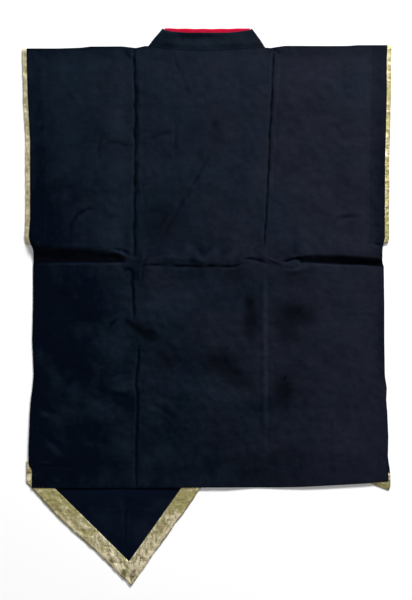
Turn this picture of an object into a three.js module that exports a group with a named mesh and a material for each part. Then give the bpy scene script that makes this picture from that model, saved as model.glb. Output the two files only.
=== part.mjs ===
// Sleeveless happi coat, laid flat on its front with its back up.
// Millimetres. +X is to the right as the coat lies, +Y runs up to the collar, +Z is up.
// The origin is on the surface, under the middle of the coat.

import * as THREE from 'three';

const { lerp, smoothstep } = THREE.MathUtils;

// Cloth
const CLOTH = 1.0;            // wall of a panel
const BAND = 2.0;             // wall of the collar's folded strip
const RIBBON = 1.0;           // wall of the gold strips and of the red lining
const SEAM = 0.3;             // clearance between pieces that are sewn together
const LAYER = CLOTH + SEAM;   // one panel and its clearance
const STRIP = RIBBON + SEAM;  // one strip and its clearance

// Collar, gold strips and lining
const COLLAR_WIDTH = 37;      // across the front strips
const COLLAR_REST = 3.6;      // underside of the collar behind the neck, at its two folds
const COLLAR_SAG = 1.0;       // how far it sinks between the folds
const LINING_TOP = 501.5;     // upper edge of the red lining
const TRIM_WIDTH = 29;        // gold strip along a hem
const TRIM_SHOWS = 8;         // how far a gold strip stands out past the black cloth
const TRIM_FLOOR = 4.5;       // width of its edge that lies down on the surface
const ARM_STRIP_HIDDEN = 28;  // gold strip behind an armhole's turned edge
const FRONT_TUCK = 1;         // how far the fronts' side edges lie inside those of the back
const LEFT_ARM_END = 112.8;   // height up the coat where each armhole ends
const RIGHT_ARM_END = 115.6;

// How the back lies over what is under it
const REACH = 31;             // a fold starts this far outside the edge that lifts it
const SLOPE = 60;             // and sinks over this distance
const PUFF = 1.6;             // air between the layers, away from the seams
const ARM_REACH = 22;
const ARM_SLOPE = 40;

// Corners of the two fronts, at the outer edge of their trim or collar
const SHOULDER = 466.5;
const LEFT_NECK = new THREE.Vector2(-64.4, 459.5);
const LEFT_LAP = new THREE.Vector2(177, -61);
const LEFT_POINT = new THREE.Vector2(-136.4, -501.7);
const LEFT_SIDE = new THREE.Vector2(-324.5, -316.4);
const RIGHT_NECK = new THREE.Vector2(64.7, 459.5);
const RIGHT_LAP = new THREE.Vector2(-219, -124);
const RIGHT_SIDE = new THREE.Vector2(331, -330.9);

// The collar's two folds beside the neck, from the neck seam to the free edge
const LEFT_FOLD = { seam: new THREE.Vector2(-104.5, 471.5), free: new THREE.Vector2(-79, 499.8) };
const RIGHT_FOLD = { seam: new THREE.Vector2(100.5, 469.5), free: new THREE.Vector2(81.5, 499.6) };

// Where the black cloth of the back ends on each side, row by row down the coat
const backSides = [
  { y: 471, left: -324, right: 323.9 },
  { y: 373, left: -322, right: 322.7 },
  { y: 301, left: -318.2, right: 321 },
  { y: 265, left: -318.2, right: 319 },
  { y: 128, left: -319, right: 319 },
  { y: 114, left: -316.5, right: 317.3 },
  { y: 103, left: -312, right: 314 },
  { y: 83, left: -312, right: 313.7 },
  { y: 74, left: -312.8, right: 317.3 },
  { y: -59, left: -314.6, right: 319.1 },
  { y: -124, left: -312.8, right: 319.1 },
  { y: -145, left: -314.6, right: 322.7 },
  { y: -188, left: -320, right: 322.7 },
  { y: -279, left: -321, right: 326.3 },
  { y: -293, left: -316.4, right: 326.3 },
  { y: -325, left: -314.6, right: 326.3 },
];

// Shoulders and neck seam, from left to right
const topEdge = [
  { x: -324, y: 465 },
  { x: -221, y: 466.7 },
  { x: -206, y: 469 },
  { x: -149, y: 469 },
  { x: -125.6, y: 466 },
  { x: -107, y: 470 },
  { x: -66, y: 464 },
  { x: -7, y: 461.3 },
  { x: 33, y: 463 },
  { x: 92, y: 466.7 },
  { x: 113, y: 466.7 },
  { x: 140, y: 470.3 },
  { x: 254, y: 470.3 },
  { x: 323, y: 471.2 },
];

// Hem of the back
const hemEdge = [
  { x: -315, y: -325 },
  { x: 125, y: -325 },
  { x: 204, y: -321.8 },
  { x: 276, y: -318 },
  { x: 326, y: -312.8 },
];

// Upper edge of the black collar behind the neck
const collarTop = [
  { x: -79, y: 499.8 },
  { x: -62, y: 495.5 },
  { x: -34, y: 493.7 },
  { x: 38, y: 493.7 },
  { x: 67, y: 497.3 },
  { x: 81.5, y: 499.6 },
];

// Creases pressed into the back. Each runs from one end to the other. Height is above or below
// the cloth around it at its start and at its end, and width is that of half its bell.
const creases = [
  { what: 'left upright crease', x0: -125.6, y0: 480, x1: -125, y1: -340, start: -1.1, end: -1.1, width: 10 },
  { what: 'right upright crease', x0: 121, y0: 480, x1: 101, y1: 100, start: -1.1, end: -1.1, width: 10 },
  { what: 'right upright ridge', x0: 106, y0: 70, x1: 104, y1: -190, start: 1.2, end: 0.5, width: 10 },
  { what: 'left arm ridge', x0: -330, y0: 104, x1: -140, y1: 84, start: 3.6, end: 0.6, width: 15 },
  { what: 'left arm groove', x0: -330, y0: 76, x1: -132, y1: 77, start: -1.1, end: -0.8, width: 9 },
  { what: 'middle ridge', x0: -118, y0: 86, x1: 120, y1: 86, start: 1.2, end: 1.4, width: 12 },
  { what: 'right arm ridge', x0: 132, y0: 86, x1: 330, y1: 96, start: 1.0, end: 3.0, width: 12 },
  { what: 'right arm groove', x0: 160, y0: 75, x1: 330, y1: 74, start: -0.8, end: -1.1, width: 9 },
];

/** The value of column `to` at `value` of column `from`, on straight lines between rows. */
function readTable(table, from, to, value) {
  const rising = table[0][from] < table.at(-1)[from];
  const rows = rising ? table : [...table].reverse();
  const next = rows.findIndex((row) => row[from] >= value);
  if (next <= 0) return next === 0 ? rows[0][to] : rows.at(-1)[to];
  const [low, high] = [rows[next - 1], rows[next]];
  return lerp(low[to], high[to], (value - low[from]) / (high[from] - low[from]));
}

const leftSide = (y) => readTable(backSides, 'y', 'left', y);
const rightSide = (y) => readTable(backSides, 'y', 'right', y);
const shoulderLine = (x) => readTable(topEdge, 'x', 'y', x);
const hemLine = (x) => readTable(hemEdge, 'x', 'y', x);

/** A straight cut from one corner to the next, with the cloth on its left. */
function cut(start, end) {
  const along = end.clone().sub(start).normalize();
  return { start, along, inward: new THREE.Vector2(-along.y, along.x) };
}

/** The same cut, moved into the cloth. */
function inset(line, distance) {
  return { ...line, start: line.start.clone().addScaledVector(line.inward, distance) };
}

/** Where two cuts cross. */
function meet(a, b) {
  const between = b.start.clone().sub(a.start);
  return a.start.clone().addScaledVector(a.along, between.cross(b.along) / a.along.cross(b.along));
}

/** How far a place is inside all of the cuts given, negative outside. */
function depth(lines, x, y) {
  const place = new THREE.Vector2(x, y);
  return Math.min(...lines.map((line) => place.clone().sub(line.start).dot(line.inward)));
}

const upright = (x) => cut(new THREE.Vector2(x, 1), new THREE.Vector2(x, 0));

// Cuts of the two fronts: hems at the trim's outer edge, openings at the collar's free edge
const leftShortHem = cut(LEFT_SIDE, LEFT_POINT);
const leftLongHem = cut(LEFT_POINT, LEFT_LAP);
const leftOpening = cut(LEFT_LAP, LEFT_NECK);
const rightOpening = cut(RIGHT_NECK, RIGHT_LAP);
const rightHem = cut(RIGHT_LAP, RIGHT_SIDE);
const leftCollarEnd = meet(inset(leftOpening, COLLAR_WIDTH), leftLongHem);
const rightCollarEnd = meet(inset(rightOpening, COLLAR_WIDTH), rightHem);
const leftSeam = inset(cut(leftCollarEnd, LEFT_FOLD.seam), SEAM);
const rightSeam = inset(cut(RIGHT_FOLD.seam, rightCollarEnd), SEAM);

/** Height that cloth takes over a front: its panel, and more over its collar and trim. */
function lift(lines, x, y, reach, slope) {
  const inside = depth(lines, x, y);
  const panel = smoothstep(inside, -reach - slope, -reach);
  const rim = panel * (1 - smoothstep(inside, COLLAR_WIDTH + reach, COLLAR_WIDTH + reach + slope));
  return LAYER * panel + STRIP * rim;
}

/** Underside of the right front, which lies partly on the left one. */
function rightFrontFloor(x, y) {
  return lift([leftLongHem, leftOpening], x, y, REACH, SLOPE);
}

/** Height of the armhole strips that lie between the back and a front. */
function armStrips(x, y) {
  const fromEdge = Math.min(x - leftSide(y), rightSide(y) - x) - ARM_STRIP_HIDDEN;
  const end = x < 0 ? LEFT_ARM_END : RIGHT_ARM_END;
  const across = 1 - smoothstep(fromEdge, ARM_REACH, ARM_REACH + ARM_SLOPE);
  return 2 * STRIP * across * smoothstep(y, end - ARM_REACH - ARM_SLOPE / 2, end - ARM_REACH / 2);
}

/** Height of one crease at a place: a bell across its line, fading at its two ends. */
function creaseHeight({ x0, y0, x1, y1, start, end, width }, x, y) {
  const [dx, dy] = [x1 - x0, y1 - y0];
  const length = Math.hypot(dx, dy);
  const along = ((x - x0) * dx + (y - y0) * dy) / length;
  const aside = ((x - x0) * dy - (y - y0) * dx) / length;
  const fade = smoothstep(along, 0, width) * smoothstep(length - along, 0, width);
  return lerp(start, end, along / length) * fade * Math.exp(-((aside / width) ** 2));
}

/** Underside of the back: on the layers beneath at its seams, with air and creases inside. */
function backFloor(x, y) {
  const left = lift([leftShortHem, leftLongHem, leftOpening], x, y, REACH, SLOPE);
  const right = lift([rightOpening, rightHem], x, y, REACH, SLOPE);
  const fromSide = Math.min(x - leftSide(y), rightSide(y) - x);
  const fromEnd = Math.min(shoulderLine(x) - y, y - hemLine(x));
  const relief = creases.reduce((sum, crease) => sum + creaseHeight(crease, x, y), 0);
  const inside = smoothstep(fromSide, 0, 24) * smoothstep(fromEnd, 0, 20);
  return left + right + armStrips(x, y) + inside * (PUFF + relief);
}

const UP = new THREE.Vector3(0, 0, 1);

/** A place in the middle of a wall that lies on `floor`, with its outer side up or down. */
function lying(x, y, floor, thickness, out = UP) {
  return { at: new THREE.Vector3(x, y, floor + thickness / 2), out };
}

/** A closed wall from rows of places: half of its thickness lies on each side of them. */
function wall(rows, thickness) {
  const columns = rows[0].length;
  const places = rows.flat();
  const outer = places.map(({ at, out }) => at.clone().addScaledVector(out, thickness / 2));
  const inner = places.map(({ at, out }) => at.clone().addScaledVector(out, -thickness / 2));
  const index = [];
  const quad = (a, b, c, d) => index.push(a, b, c, a, c, d);
  const other = places.length;
  const number = (row, column) => row * columns + column;
  for (let row = 0; row + 1 < rows.length; row++) {
    for (let column = 0; column + 1 < columns; column++) {
      const a = number(row, column);
      const b = number(row + 1, column);
      const c = number(row + 1, column + 1);
      const d = number(row, column + 1);
      quad(a, b, c, d);
      quad(other + d, other + c, other + b, other + a);
    }
  }
  const rim = [];
  for (let column = 0; column < columns; column++) rim.push(number(0, column));
  for (let row = 1; row < rows.length; row++) rim.push(number(row, columns - 1));
  for (let column = columns - 2; column >= 0; column--) rim.push(number(rows.length - 1, column));
  for (let row = rows.length - 2; row > 0; row--) rim.push(number(row, 0));
  rim.forEach((a, step) => {
    const b = rim[(step + 1) % rim.length];
    quad(a, b, other + b, other + a);
  });
  return closedGeometry([...outer, ...inner], index);
}

/** A geometry of these corners and triangles, turned so that its faces point outwards. */
function closedGeometry(corners, index) {
  let volume = 0;
  for (let i = 0; i < index.length; i += 3) {
    const [a, b, c] = [corners[index[i]], corners[index[i + 1]], corners[index[i + 2]]];
    volume += a.dot(b.clone().cross(c));
  }
  const geometry = new THREE.BufferGeometry();
  geometry.setFromPoints(corners);
  geometry.setIndex(volume > 0 ? index : [...index].reverse());
  geometry.computeVertexNormals();
  return geometry;
}

/** Evenly spaced values from start to end, both included. */
function spread(start, end, step) {
  const count = Math.max(1, Math.round(Math.abs(end - start) / step));
  return Array.from({ length: count + 1 }, (_, i) => lerp(start, end, i / count));
}

/** Stations along one direction, evenly spaced but for closer ones about each crease. */
function stations(start, end, step, closeTo, offsets) {
  const close = closeTo.flatMap((middle) => offsets.map((offset) => middle + offset));
  const clear = Math.max(...offsets) + step / 3;
  const open = spread(start, end, step).filter((value, i, all) => i === 0 || i === all.length - 1
    || closeTo.every((middle) => Math.abs(value - middle) > clear));
  return [...new Set([...open, ...close])].sort((a, b) => a - b);
}

/** The back: one panel from the shoulders to the hem. */
function backPanel() {
  const columns = stations(-318, 320, 25, [-125.5, 108], [-16, -8, 0, 8, 16]);
  columns.splice(1, 0, -306);
  columns.splice(-1, 0, 308);
  const rows = stations(-325, 470, 25, [90], [-30, -22, -14, -7, 0, 7, 14, 22]);
  rows.splice(1, 0, -313);
  rows.splice(-1, 0, 458);
  const places = rows.map((row) => columns.map((column) => {
    const up = (row + 325) / 795;
    const across = (column + 318) / 638;
    const y = lerp(hemLine(column), shoulderLine(column), up);
    const x = lerp(leftSide(y), rightSide(y), across);
    return lying(x, y, backFloor(x, y), CLOTH);
  }));
  return wall(places, CLOTH);
}

/** The left front: flat on the surface, down to its long point. */
function leftFrontPanel() {
  const sideRows = backSides.filter(({ y }) => y < SHOULDER && y > -290);
  const shortHem = inset(leftShortHem, TRIM_SHOWS);
  const longHem = inset(leftLongHem, TRIM_SHOWS);
  const slit = upright(LEFT_SIDE.x + 1);
  const outline = [
    new THREE.Vector2(leftSide(SHOULDER) + FRONT_TUCK, SHOULDER - 2),
    ...sideRows.map(({ y, left }) => new THREE.Vector2(left + FRONT_TUCK, y)),
    new THREE.Vector2(slit.start.x, -293),
    meet(slit, shortHem),
    meet(shortHem, longHem),
    meet(longHem, leftSeam),
    meet(leftSeam, cut(new THREE.Vector2(0, SHOULDER), new THREE.Vector2(1, SHOULDER))),
  ];
  return new THREE.ExtrudeGeometry(new THREE.Shape(outline), { depth: CLOTH, bevelEnabled: false });
}

/** Rows of places on the right front, from the shoulder to the hem's turned edge. */
function rightFrontRows() {
  const trimInner = inset(rightHem, TRIM_WIDTH);
  const edge = inset(rightHem, TRIM_SHOWS);
  const neck = meet(rightSeam, cut(new THREE.Vector2(0, SHOULDER), new THREE.Vector2(1, SHOULDER)));
  const slit = upright(RIGHT_SIDE.x - 1);
  const [lap, lapEdge] = [meet(trimInner, rightSeam), meet(edge, rightSeam)];
  const [side, sideEdge] = [meet(trimInner, slit), meet(edge, slit)];
  const across = spread(0, 1, 1 / 20);
  const place = (p) => lying(p.x, p.y, rightFrontFloor(p.x, p.y), CLOTH);
  const rows = spread(0, 1, 1 / 28).map((down) => {
    const inner = neck.clone().lerp(lap, down);
    const y = lerp(SHOULDER + 3, side.y, down);
    const seam = rightSide(y) - FRONT_TUCK;
    const outer = new THREE.Vector2(lerp(seam, side.x, smoothstep(-y, 250, 310)), y);
    return across.map((t) => place(inner.clone().lerp(outer, t)));
  });
  rows.push(across.map((t) => place(lapEdge.clone().lerp(sideEdge, t))));
  return rows;
}

/** The right front's gold strip: made from the panel's two last rows, then down past its edge. */
function rightHemTrim() {
  const [inner, edge] = rightFrontRows().slice(-2);
  const raised = (row) => row.map(({ at }) => lying(at.x, at.y, at.z + CLOTH / 2 + SEAM, RIBBON));
  const beyond = (distance) => edge.map(({ at }) => {
    const p = new THREE.Vector2(at.x, at.y).addScaledVector(rightHem.inward, -distance);
    return lying(p.x, p.y, rightFrontFloor(p.x, p.y), RIBBON);
  });
  return wall([raised(inner), raised(edge), beyond(TRIM_SHOWS - TRIM_FLOOR), beyond(TRIM_SHOWS)], RIBBON);
}

/** The left front's gold strip: along the short hem, mitred at the point, and up the long hem. */
function leftHemTrim() {
  const across = [
    { from: 0, floor: 0 },
    { from: TRIM_FLOOR, floor: 0 },
    { from: TRIM_SHOWS, floor: LAYER },
    { from: TRIM_WIDTH, floor: LAYER },
  ];
  const side = upright(LEFT_SIDE.x);
  const lines = across.map(({ from, floor }) => {
    const [shortHem, longHem] = [inset(leftShortHem, from), inset(leftLongHem, from)];
    const corners = [meet(shortHem, side), meet(shortHem, longHem), meet(longHem, leftSeam)];
    return { corners, floor };
  });
  const along = [...spread(0, 1, 1 / 10), ...spread(1, 2, 1 / 20).slice(1)];
  const rows = along.map((t) => lines.map(({ corners, floor }) => {
    const first = Math.min(Math.floor(t), 1);
    const p = corners[first].clone().lerp(corners[first + 1], t - first);
    return lying(p.x, p.y, floor, RIBBON);
  }));
  return wall(rows, RIBBON);
}

/** A gold strip behind an armhole's edge: up the front, round the shoulder and down the back. */
function armholeTrim(side, end, top) {
  const blackEdge = side < 0 ? leftSide : rightSide;
  const across = [
    { past: TRIM_SHOWS, drop: LAYER },
    { past: TRIM_SHOWS - TRIM_FLOOR, drop: LAYER },
    { past: 0, drop: 0 },
    { past: -ARM_STRIP_HIDDEN, drop: 0 },
  ];
  const [frontMiddle, backMiddle] = [LAYER + RIBBON / 2, LAYER + STRIP + RIBBON / 2];
  const radius = (backMiddle - frontMiddle) / 2;
  const row = (y, z, out) => across.map(({ past, drop }) => (
    { at: new THREE.Vector3(blackEdge(y) + side * past, y, z - drop), out }));
  const heights = spread(end, top, 24);
  const front = heights.map((y) => row(y, frontMiddle, UP.clone().negate()));
  const turn = [-0.25, 0, 0.25].map((half) => {
    const out = new THREE.Vector3(0, Math.cos(half * Math.PI), Math.sin(half * Math.PI));
    return row(top + radius * out.y, frontMiddle + radius * (1 + out.z), out);
  });
  const back = [...heights].reverse().map((y) => row(y, backMiddle, UP));
  return wall([...front, ...turn, ...back], RIBBON);
}

/** Underside of the collar behind the neck. */
function collarFloor(x) {
  const t = (x - LEFT_FOLD.seam.x) / (RIGHT_FOLD.seam.x - LEFT_FOLD.seam.x);
  return COLLAR_REST - COLLAR_SAG * Math.sin(Math.PI * THREE.MathUtils.clamp(t, 0, 1)) ** 2;
}

/** A row of places across the collar's strip, from its seam to its free edge. */
function collarRow(seam, free, floor, out) {
  return [0, 0.5, 1].map((t) => {
    const p = seam.clone().lerp(free, t);
    return lying(p.x, p.y, floor(p.x, p.y), BAND, out);
  });
}

/** The collar's half turn at a fold beside the neck, between its front and its back strip. */
function collarTurn({ seam, free }, side) {
  const along = free.clone().sub(seam).normalize();
  const outward = new THREE.Vector2(side * along.y, -side * along.x);
  const [low, high] = [BAND / 2, COLLAR_REST + BAND / 2];
  const radius = (high - low) / 2;
  return [-0.33, -0.17, 0, 0.17, 0.33].map((half) => {
    const [level, rise] = [Math.cos(half * Math.PI), Math.sin(half * Math.PI)];
    const out = new THREE.Vector3(outward.x * level, outward.y * level, rise);
    const centre = new THREE.Vector3(0, 0, low + radius);
    return [0, 0.5, 1].map((t) => {
      const p = seam.clone().lerp(free, t);
      return { at: new THREE.Vector3(p.x, p.y, 0).add(centre).addScaledVector(out, radius), out };
    });
  });
}

/** The collar: up the left front, folded behind the neck, and down the right front. */
function collarBand() {
  const down = UP.clone().negate();
  const front = (seamEnd, freeEnd, fold, neck, floor) => spread(0, 1, 1 / 42).map((t) => {
    const seam = seamEnd.clone().lerp(fold.seam, t);
    const straight = freeEnd.clone().lerp(neck, Math.min(t / 0.93, 1));
    const free = straight.lerp(fold.free, Math.max(0, (t - 0.93) / 0.07));
    return collarRow(seam, free, floor, down);
  });
  const left = front(leftCollarEnd, LEFT_LAP, LEFT_FOLD, LEFT_NECK, () => 0);
  const right = front(rightCollarEnd, RIGHT_LAP, RIGHT_FOLD, RIGHT_NECK, rightFrontFloor);
  const behind = spread(0, 1, 1 / 16).map((t) => {
    const [x, top] = [lerp(LEFT_FOLD.seam.x, RIGHT_FOLD.seam.x, t), lerp(LEFT_FOLD.free.x, RIGHT_FOLD.free.x, t)];
    const fromFold = smoothstep(Math.min(t, 1 - t), 0, 0.08);
    const foldY = t < 0.5 ? LEFT_FOLD.seam.y : RIGHT_FOLD.seam.y;
    const seam = new THREE.Vector2(x, lerp(foldY, shoulderLine(x) + 2 * SEAM, fromFold));
    const free = new THREE.Vector2(top, readTable(collarTop, 'x', 'y', top));
    return collarRow(seam, free, collarFloor, UP);
  });
  const leftTurn = collarTurn(LEFT_FOLD, -1);
  const rightTurn = collarTurn(RIGHT_FOLD, 1).reverse();
  return wall([...left, ...leftTurn, ...behind, ...rightTurn, ...right.reverse()], BAND);
}

/** The red lining under the collar behind the neck, showing above its edge. */
function collarLining() {
  const inFromFold = 4;
  const rows = spread(0, 1, 1 / 16).map((t) => {
    const low = lerp(LEFT_FOLD.seam.x + inFromFold, RIGHT_FOLD.seam.x - inFromFold, t);
    const high = lerp(LEFT_FOLD.free.x + inFromFold / 2, RIGHT_FOLD.free.x - inFromFold / 2, t);
    return [0, 0.5, 1].map((up) => {
      const x = lerp(low, high, up);
      return lying(x, lerp(shoulderLine(low) + 3, LINING_TOP, up), collarFloor(x) - STRIP, RIBBON);
    });
  });
  return wall(rows, RIBBON);
}

const cotton = { color: '#191d28', roughness: 0.85, metalness: 0 };
const gold = { color: '#b7ad8c', roughness: 0.45, metalness: 0.6 };
const redCotton = { color: '#bc0e2d', roughness: 0.8, metalness: 0 };

/** A named piece of the coat in its own material. */
function piece(name, geometry, finish) {
  const mesh = new THREE.Mesh(geometry, new THREE.MeshStandardMaterial(finish));
  mesh.name = name;
  return mesh;
}

const coat = new THREE.Group();
coat.add(
  piece('back_panel', backPanel(), cotton),
  piece('front_left_panel', leftFrontPanel(), cotton),
  piece('front_right_panel', wall(rightFrontRows(), CLOTH), cotton),
  piece('collar_band', collarBand(), cotton),
  piece('collar_lining', collarLining(), redCotton),
  piece('armhole_trim_left', armholeTrim(-1, LEFT_ARM_END, 464), gold),
  piece('armhole_trim_right', armholeTrim(1, RIGHT_ARM_END, 469.5), gold),
  piece('hem_trim_left', leftHemTrim(), gold),
  piece('hem_trim_right', rightHemTrim(), gold),
);

export default coat;
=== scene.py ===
import logging
import math
from dataclasses import dataclass
from enum import Enum
from typing import Callable, Iterable, Sequence

import bpy
import numpy as np
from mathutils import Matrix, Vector


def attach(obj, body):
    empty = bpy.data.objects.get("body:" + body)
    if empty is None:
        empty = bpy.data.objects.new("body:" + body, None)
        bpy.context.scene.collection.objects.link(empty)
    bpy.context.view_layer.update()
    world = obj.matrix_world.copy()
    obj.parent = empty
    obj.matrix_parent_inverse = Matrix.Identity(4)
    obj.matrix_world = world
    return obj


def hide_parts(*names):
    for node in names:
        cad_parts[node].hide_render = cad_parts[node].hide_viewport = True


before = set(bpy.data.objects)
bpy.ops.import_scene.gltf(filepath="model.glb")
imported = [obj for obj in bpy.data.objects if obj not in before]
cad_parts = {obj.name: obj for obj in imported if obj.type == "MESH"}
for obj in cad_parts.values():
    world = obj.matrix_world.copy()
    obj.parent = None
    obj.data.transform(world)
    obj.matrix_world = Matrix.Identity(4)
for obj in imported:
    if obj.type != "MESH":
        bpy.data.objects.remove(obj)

# A sleeveless happi coat laid flat with its back up. Sizes are millimetres, with +X to the right
# as the coat lies, +Y up to the collar and +Z up from the surface. Only a finished mesh, a
# material, a light and the camera are in metres.

Array = np.ndarray
Height = Callable[[Array, Array], Array]
Piece = bpy.types.Object
Socket = bpy.types.NodeSocket
Point = tuple[float, float]
Span = tuple[float, float]
Triple = tuple[float, float, float]
Colour = Triple
Rows = tuple[Triple, ...]

LOG = logging.getLogger("happi_coat")
MM = 0.001

# Walls of the panels, the folded collar and the gold strips, and the gap between neighbours
CLOTH = 1.0
BAND = 2.0
RIBBON = 1.0
SEAM = 0.3
LAYER = CLOTH + SEAM
STRIP = RIBBON + SEAM

# Width of the collar, of a gold strip, and of what shows of the strip past the black cloth
COLLAR_WIDTH = 37.0
TRIM_WIDTH = 29.0
TRIM_SHOWS = 8.0

UP = np.array((0.0, 0.0, 1.0))


def ease(value: Array, low: float, high: float) -> Array:
    """Zero under low, one over high, and the smooth cubic 3t^2 - 2t^3 between them."""
    t = np.clip((value - low) / (high - low), 0.0, 1.0)
    return t * t * (3.0 - 2.0 * t)


def bell(value: Array, width: Array | float) -> Array:
    """One where value is zero, falling to both sides as exp(-(value / width)^2)."""
    return np.exp(-((value / width) ** 2))


def summed(shapes: Iterable[Height], x: Array, y: Array) -> Array:
    """The sum of what these shapes give at each place."""
    return sum(shape(x, y) for shape in shapes)


def above_zero(value: Array, corner: float) -> Array:
    """Value over zero and nothing under it, rounded between: (v + sqrt(v^2 + corner^2)) / 2."""
    return (value + np.hypot(value, corner)) / 2


@dataclass(frozen=True)
class Edge:
    """An edge of the cloth in plan, as where it lies (reach) at stations along it (at)."""

    at: tuple[float, ...]
    reach: tuple[float, ...]

    def __call__(self, value: Array) -> Array:
        """Where the edge lies at a station, on straight lines between those given."""
        return np.interp(value, self.at, self.reach)


# Where the back's cloth ends: X at each side by Y, then Y along the shoulders and the hem by X
LEFT_SIDE = Edge(
    at=(-325, -304, -294, -289, -286, -280, -253, -205, -188, -167, -145, -120, -59, 6, 74, 81, 103,
        110, 114, 121, 128, 157, 265, 301, 337, 373, 445, 471),
    reach=(-315, -315, -315, -317, -320, -321, -321, -319, -318.5, -317, -314, -312, -314.5, -313,
           -313, -312, -312, -315, -317, -319, -320, -318, -318, -318, -320, -322, -324, -324),
)
RIGHT_SIDE = Edge(
    at=(-325, -293, -280, -232, -188, -167, -145, -124, -59, 6, 74, 81, 103, 110, 114, 125, 157,
        265, 301, 373, 445, 471),
    reach=(327, 326, 325, 326, 324.3, 322.5, 323.5, 320, 319, 319, 318, 315, 315, 316, 317, 319.5,
           319.5, 320, 321, 323, 323, 324),
)
TOP_LINE = Edge(
    at=(-324, -264, -221, -206, -149, -125, -107, -102, -66, -7, 33, 92, 103, 113, 125, 140, 254,
        268, 323),
    reach=(465, 465, 467, 469, 469, 466, 470, 469, 464, 461, 463, 467, 467, 466, 468, 470, 470,
           471, 471),
)
HEM_LINE = Edge(
    at=(-315, -150, 0, 125, 168, 204, 240, 276, 297, 312, 326),
    reach=(-325, -325.5, -324, -324, -323, -321, -319, -317, -315, -314, -312.5),
)
COLLAR_TOP = Edge(at=(-79, -62, -34, 38, 53, 67, 82), reach=(499, 495.5, 493.7, 493.7, 495, 497, 499))


@dataclass(frozen=True)
class Cut:
    """A straight cut from start to end, with the cloth on its left."""

    start: Point
    end: Point

    @property
    def along(self) -> Array:
        """The unit direction from start to end."""
        step = np.subtract(self.end, self.start)
        return step / np.hypot(*step)

    @property
    def inward(self) -> Array:
        """The unit direction into the cloth."""
        return np.array((-self.along[1], self.along[0]))

    def depth(self, x: Array, y: Array) -> Array:
        """How far each place is inside the cut."""
        return (x - self.start[0]) * self.inward[0] + (y - self.start[1]) * self.inward[1]

    def inset(self, distance: float) -> "Cut":
        """The same cut moved into the cloth."""
        shift = self.inward * distance
        return Cut(tuple(self.start + shift), tuple(self.end + shift))

    def meet(self, other: "Cut") -> Array:
        """Where this cut and another one cross: start + along * (gap x other) / (along x other).

        Args:
            other: the other cut, which isn't parallel to this one.

        Returns:
            The point.
        """
        gap = np.subtract(other.start, self.start)
        turn = self.along[0] * other.along[1] - self.along[1] * other.along[0]
        return self.start + self.along * (gap[0] * other.along[1] - gap[1] * other.along[0]) / turn


# Corners of the two fronts, at the outer edge of their gold or collar
LEFT_NECK, LEFT_LAP, LEFT_POINT, LEFT_CORNER = (-64.4, 459.5), (177, -61), (-136.4, -501.7), (-324.5, -316.4)
RIGHT_NECK, RIGHT_LAP, RIGHT_CORNER = (64.7, 459.5), (-219, -124), (331, -330.9)

# The collar's two folds beside the neck, at its seam and at its free edge
LEFT_FOLD_SEAM, LEFT_FOLD_FREE = (-104.5, 468.3), (-77.5, 499.8)
RIGHT_FOLD_SEAM, RIGHT_FOLD_FREE = (103.0, 466.3), (78.5, 499.6)
SHOULDER = Cut((0, 466.5), (-1, 466.5))

# Cuts of the two fronts
LEFT_SHORT_HEM = Cut(LEFT_CORNER, LEFT_POINT)
LEFT_LONG_HEM = Cut(LEFT_POINT, LEFT_LAP)
LEFT_OPENING = Cut(LEFT_LAP, LEFT_NECK)
RIGHT_OPENING = Cut(RIGHT_NECK, RIGHT_LAP)
RIGHT_HEM = Cut(RIGHT_LAP, RIGHT_CORNER)
LEFT_COLLAR_END = tuple(LEFT_OPENING.inset(COLLAR_WIDTH).meet(LEFT_LONG_HEM))
RIGHT_COLLAR_END = tuple(RIGHT_OPENING.inset(COLLAR_WIDTH).meet(RIGHT_HEM))
LEFT_SEAM = Cut(LEFT_COLLAR_END, LEFT_FOLD_SEAM).inset(SEAM)
RIGHT_SEAM = Cut(RIGHT_FOLD_SEAM, RIGHT_COLLAR_END).inset(SEAM)


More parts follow.
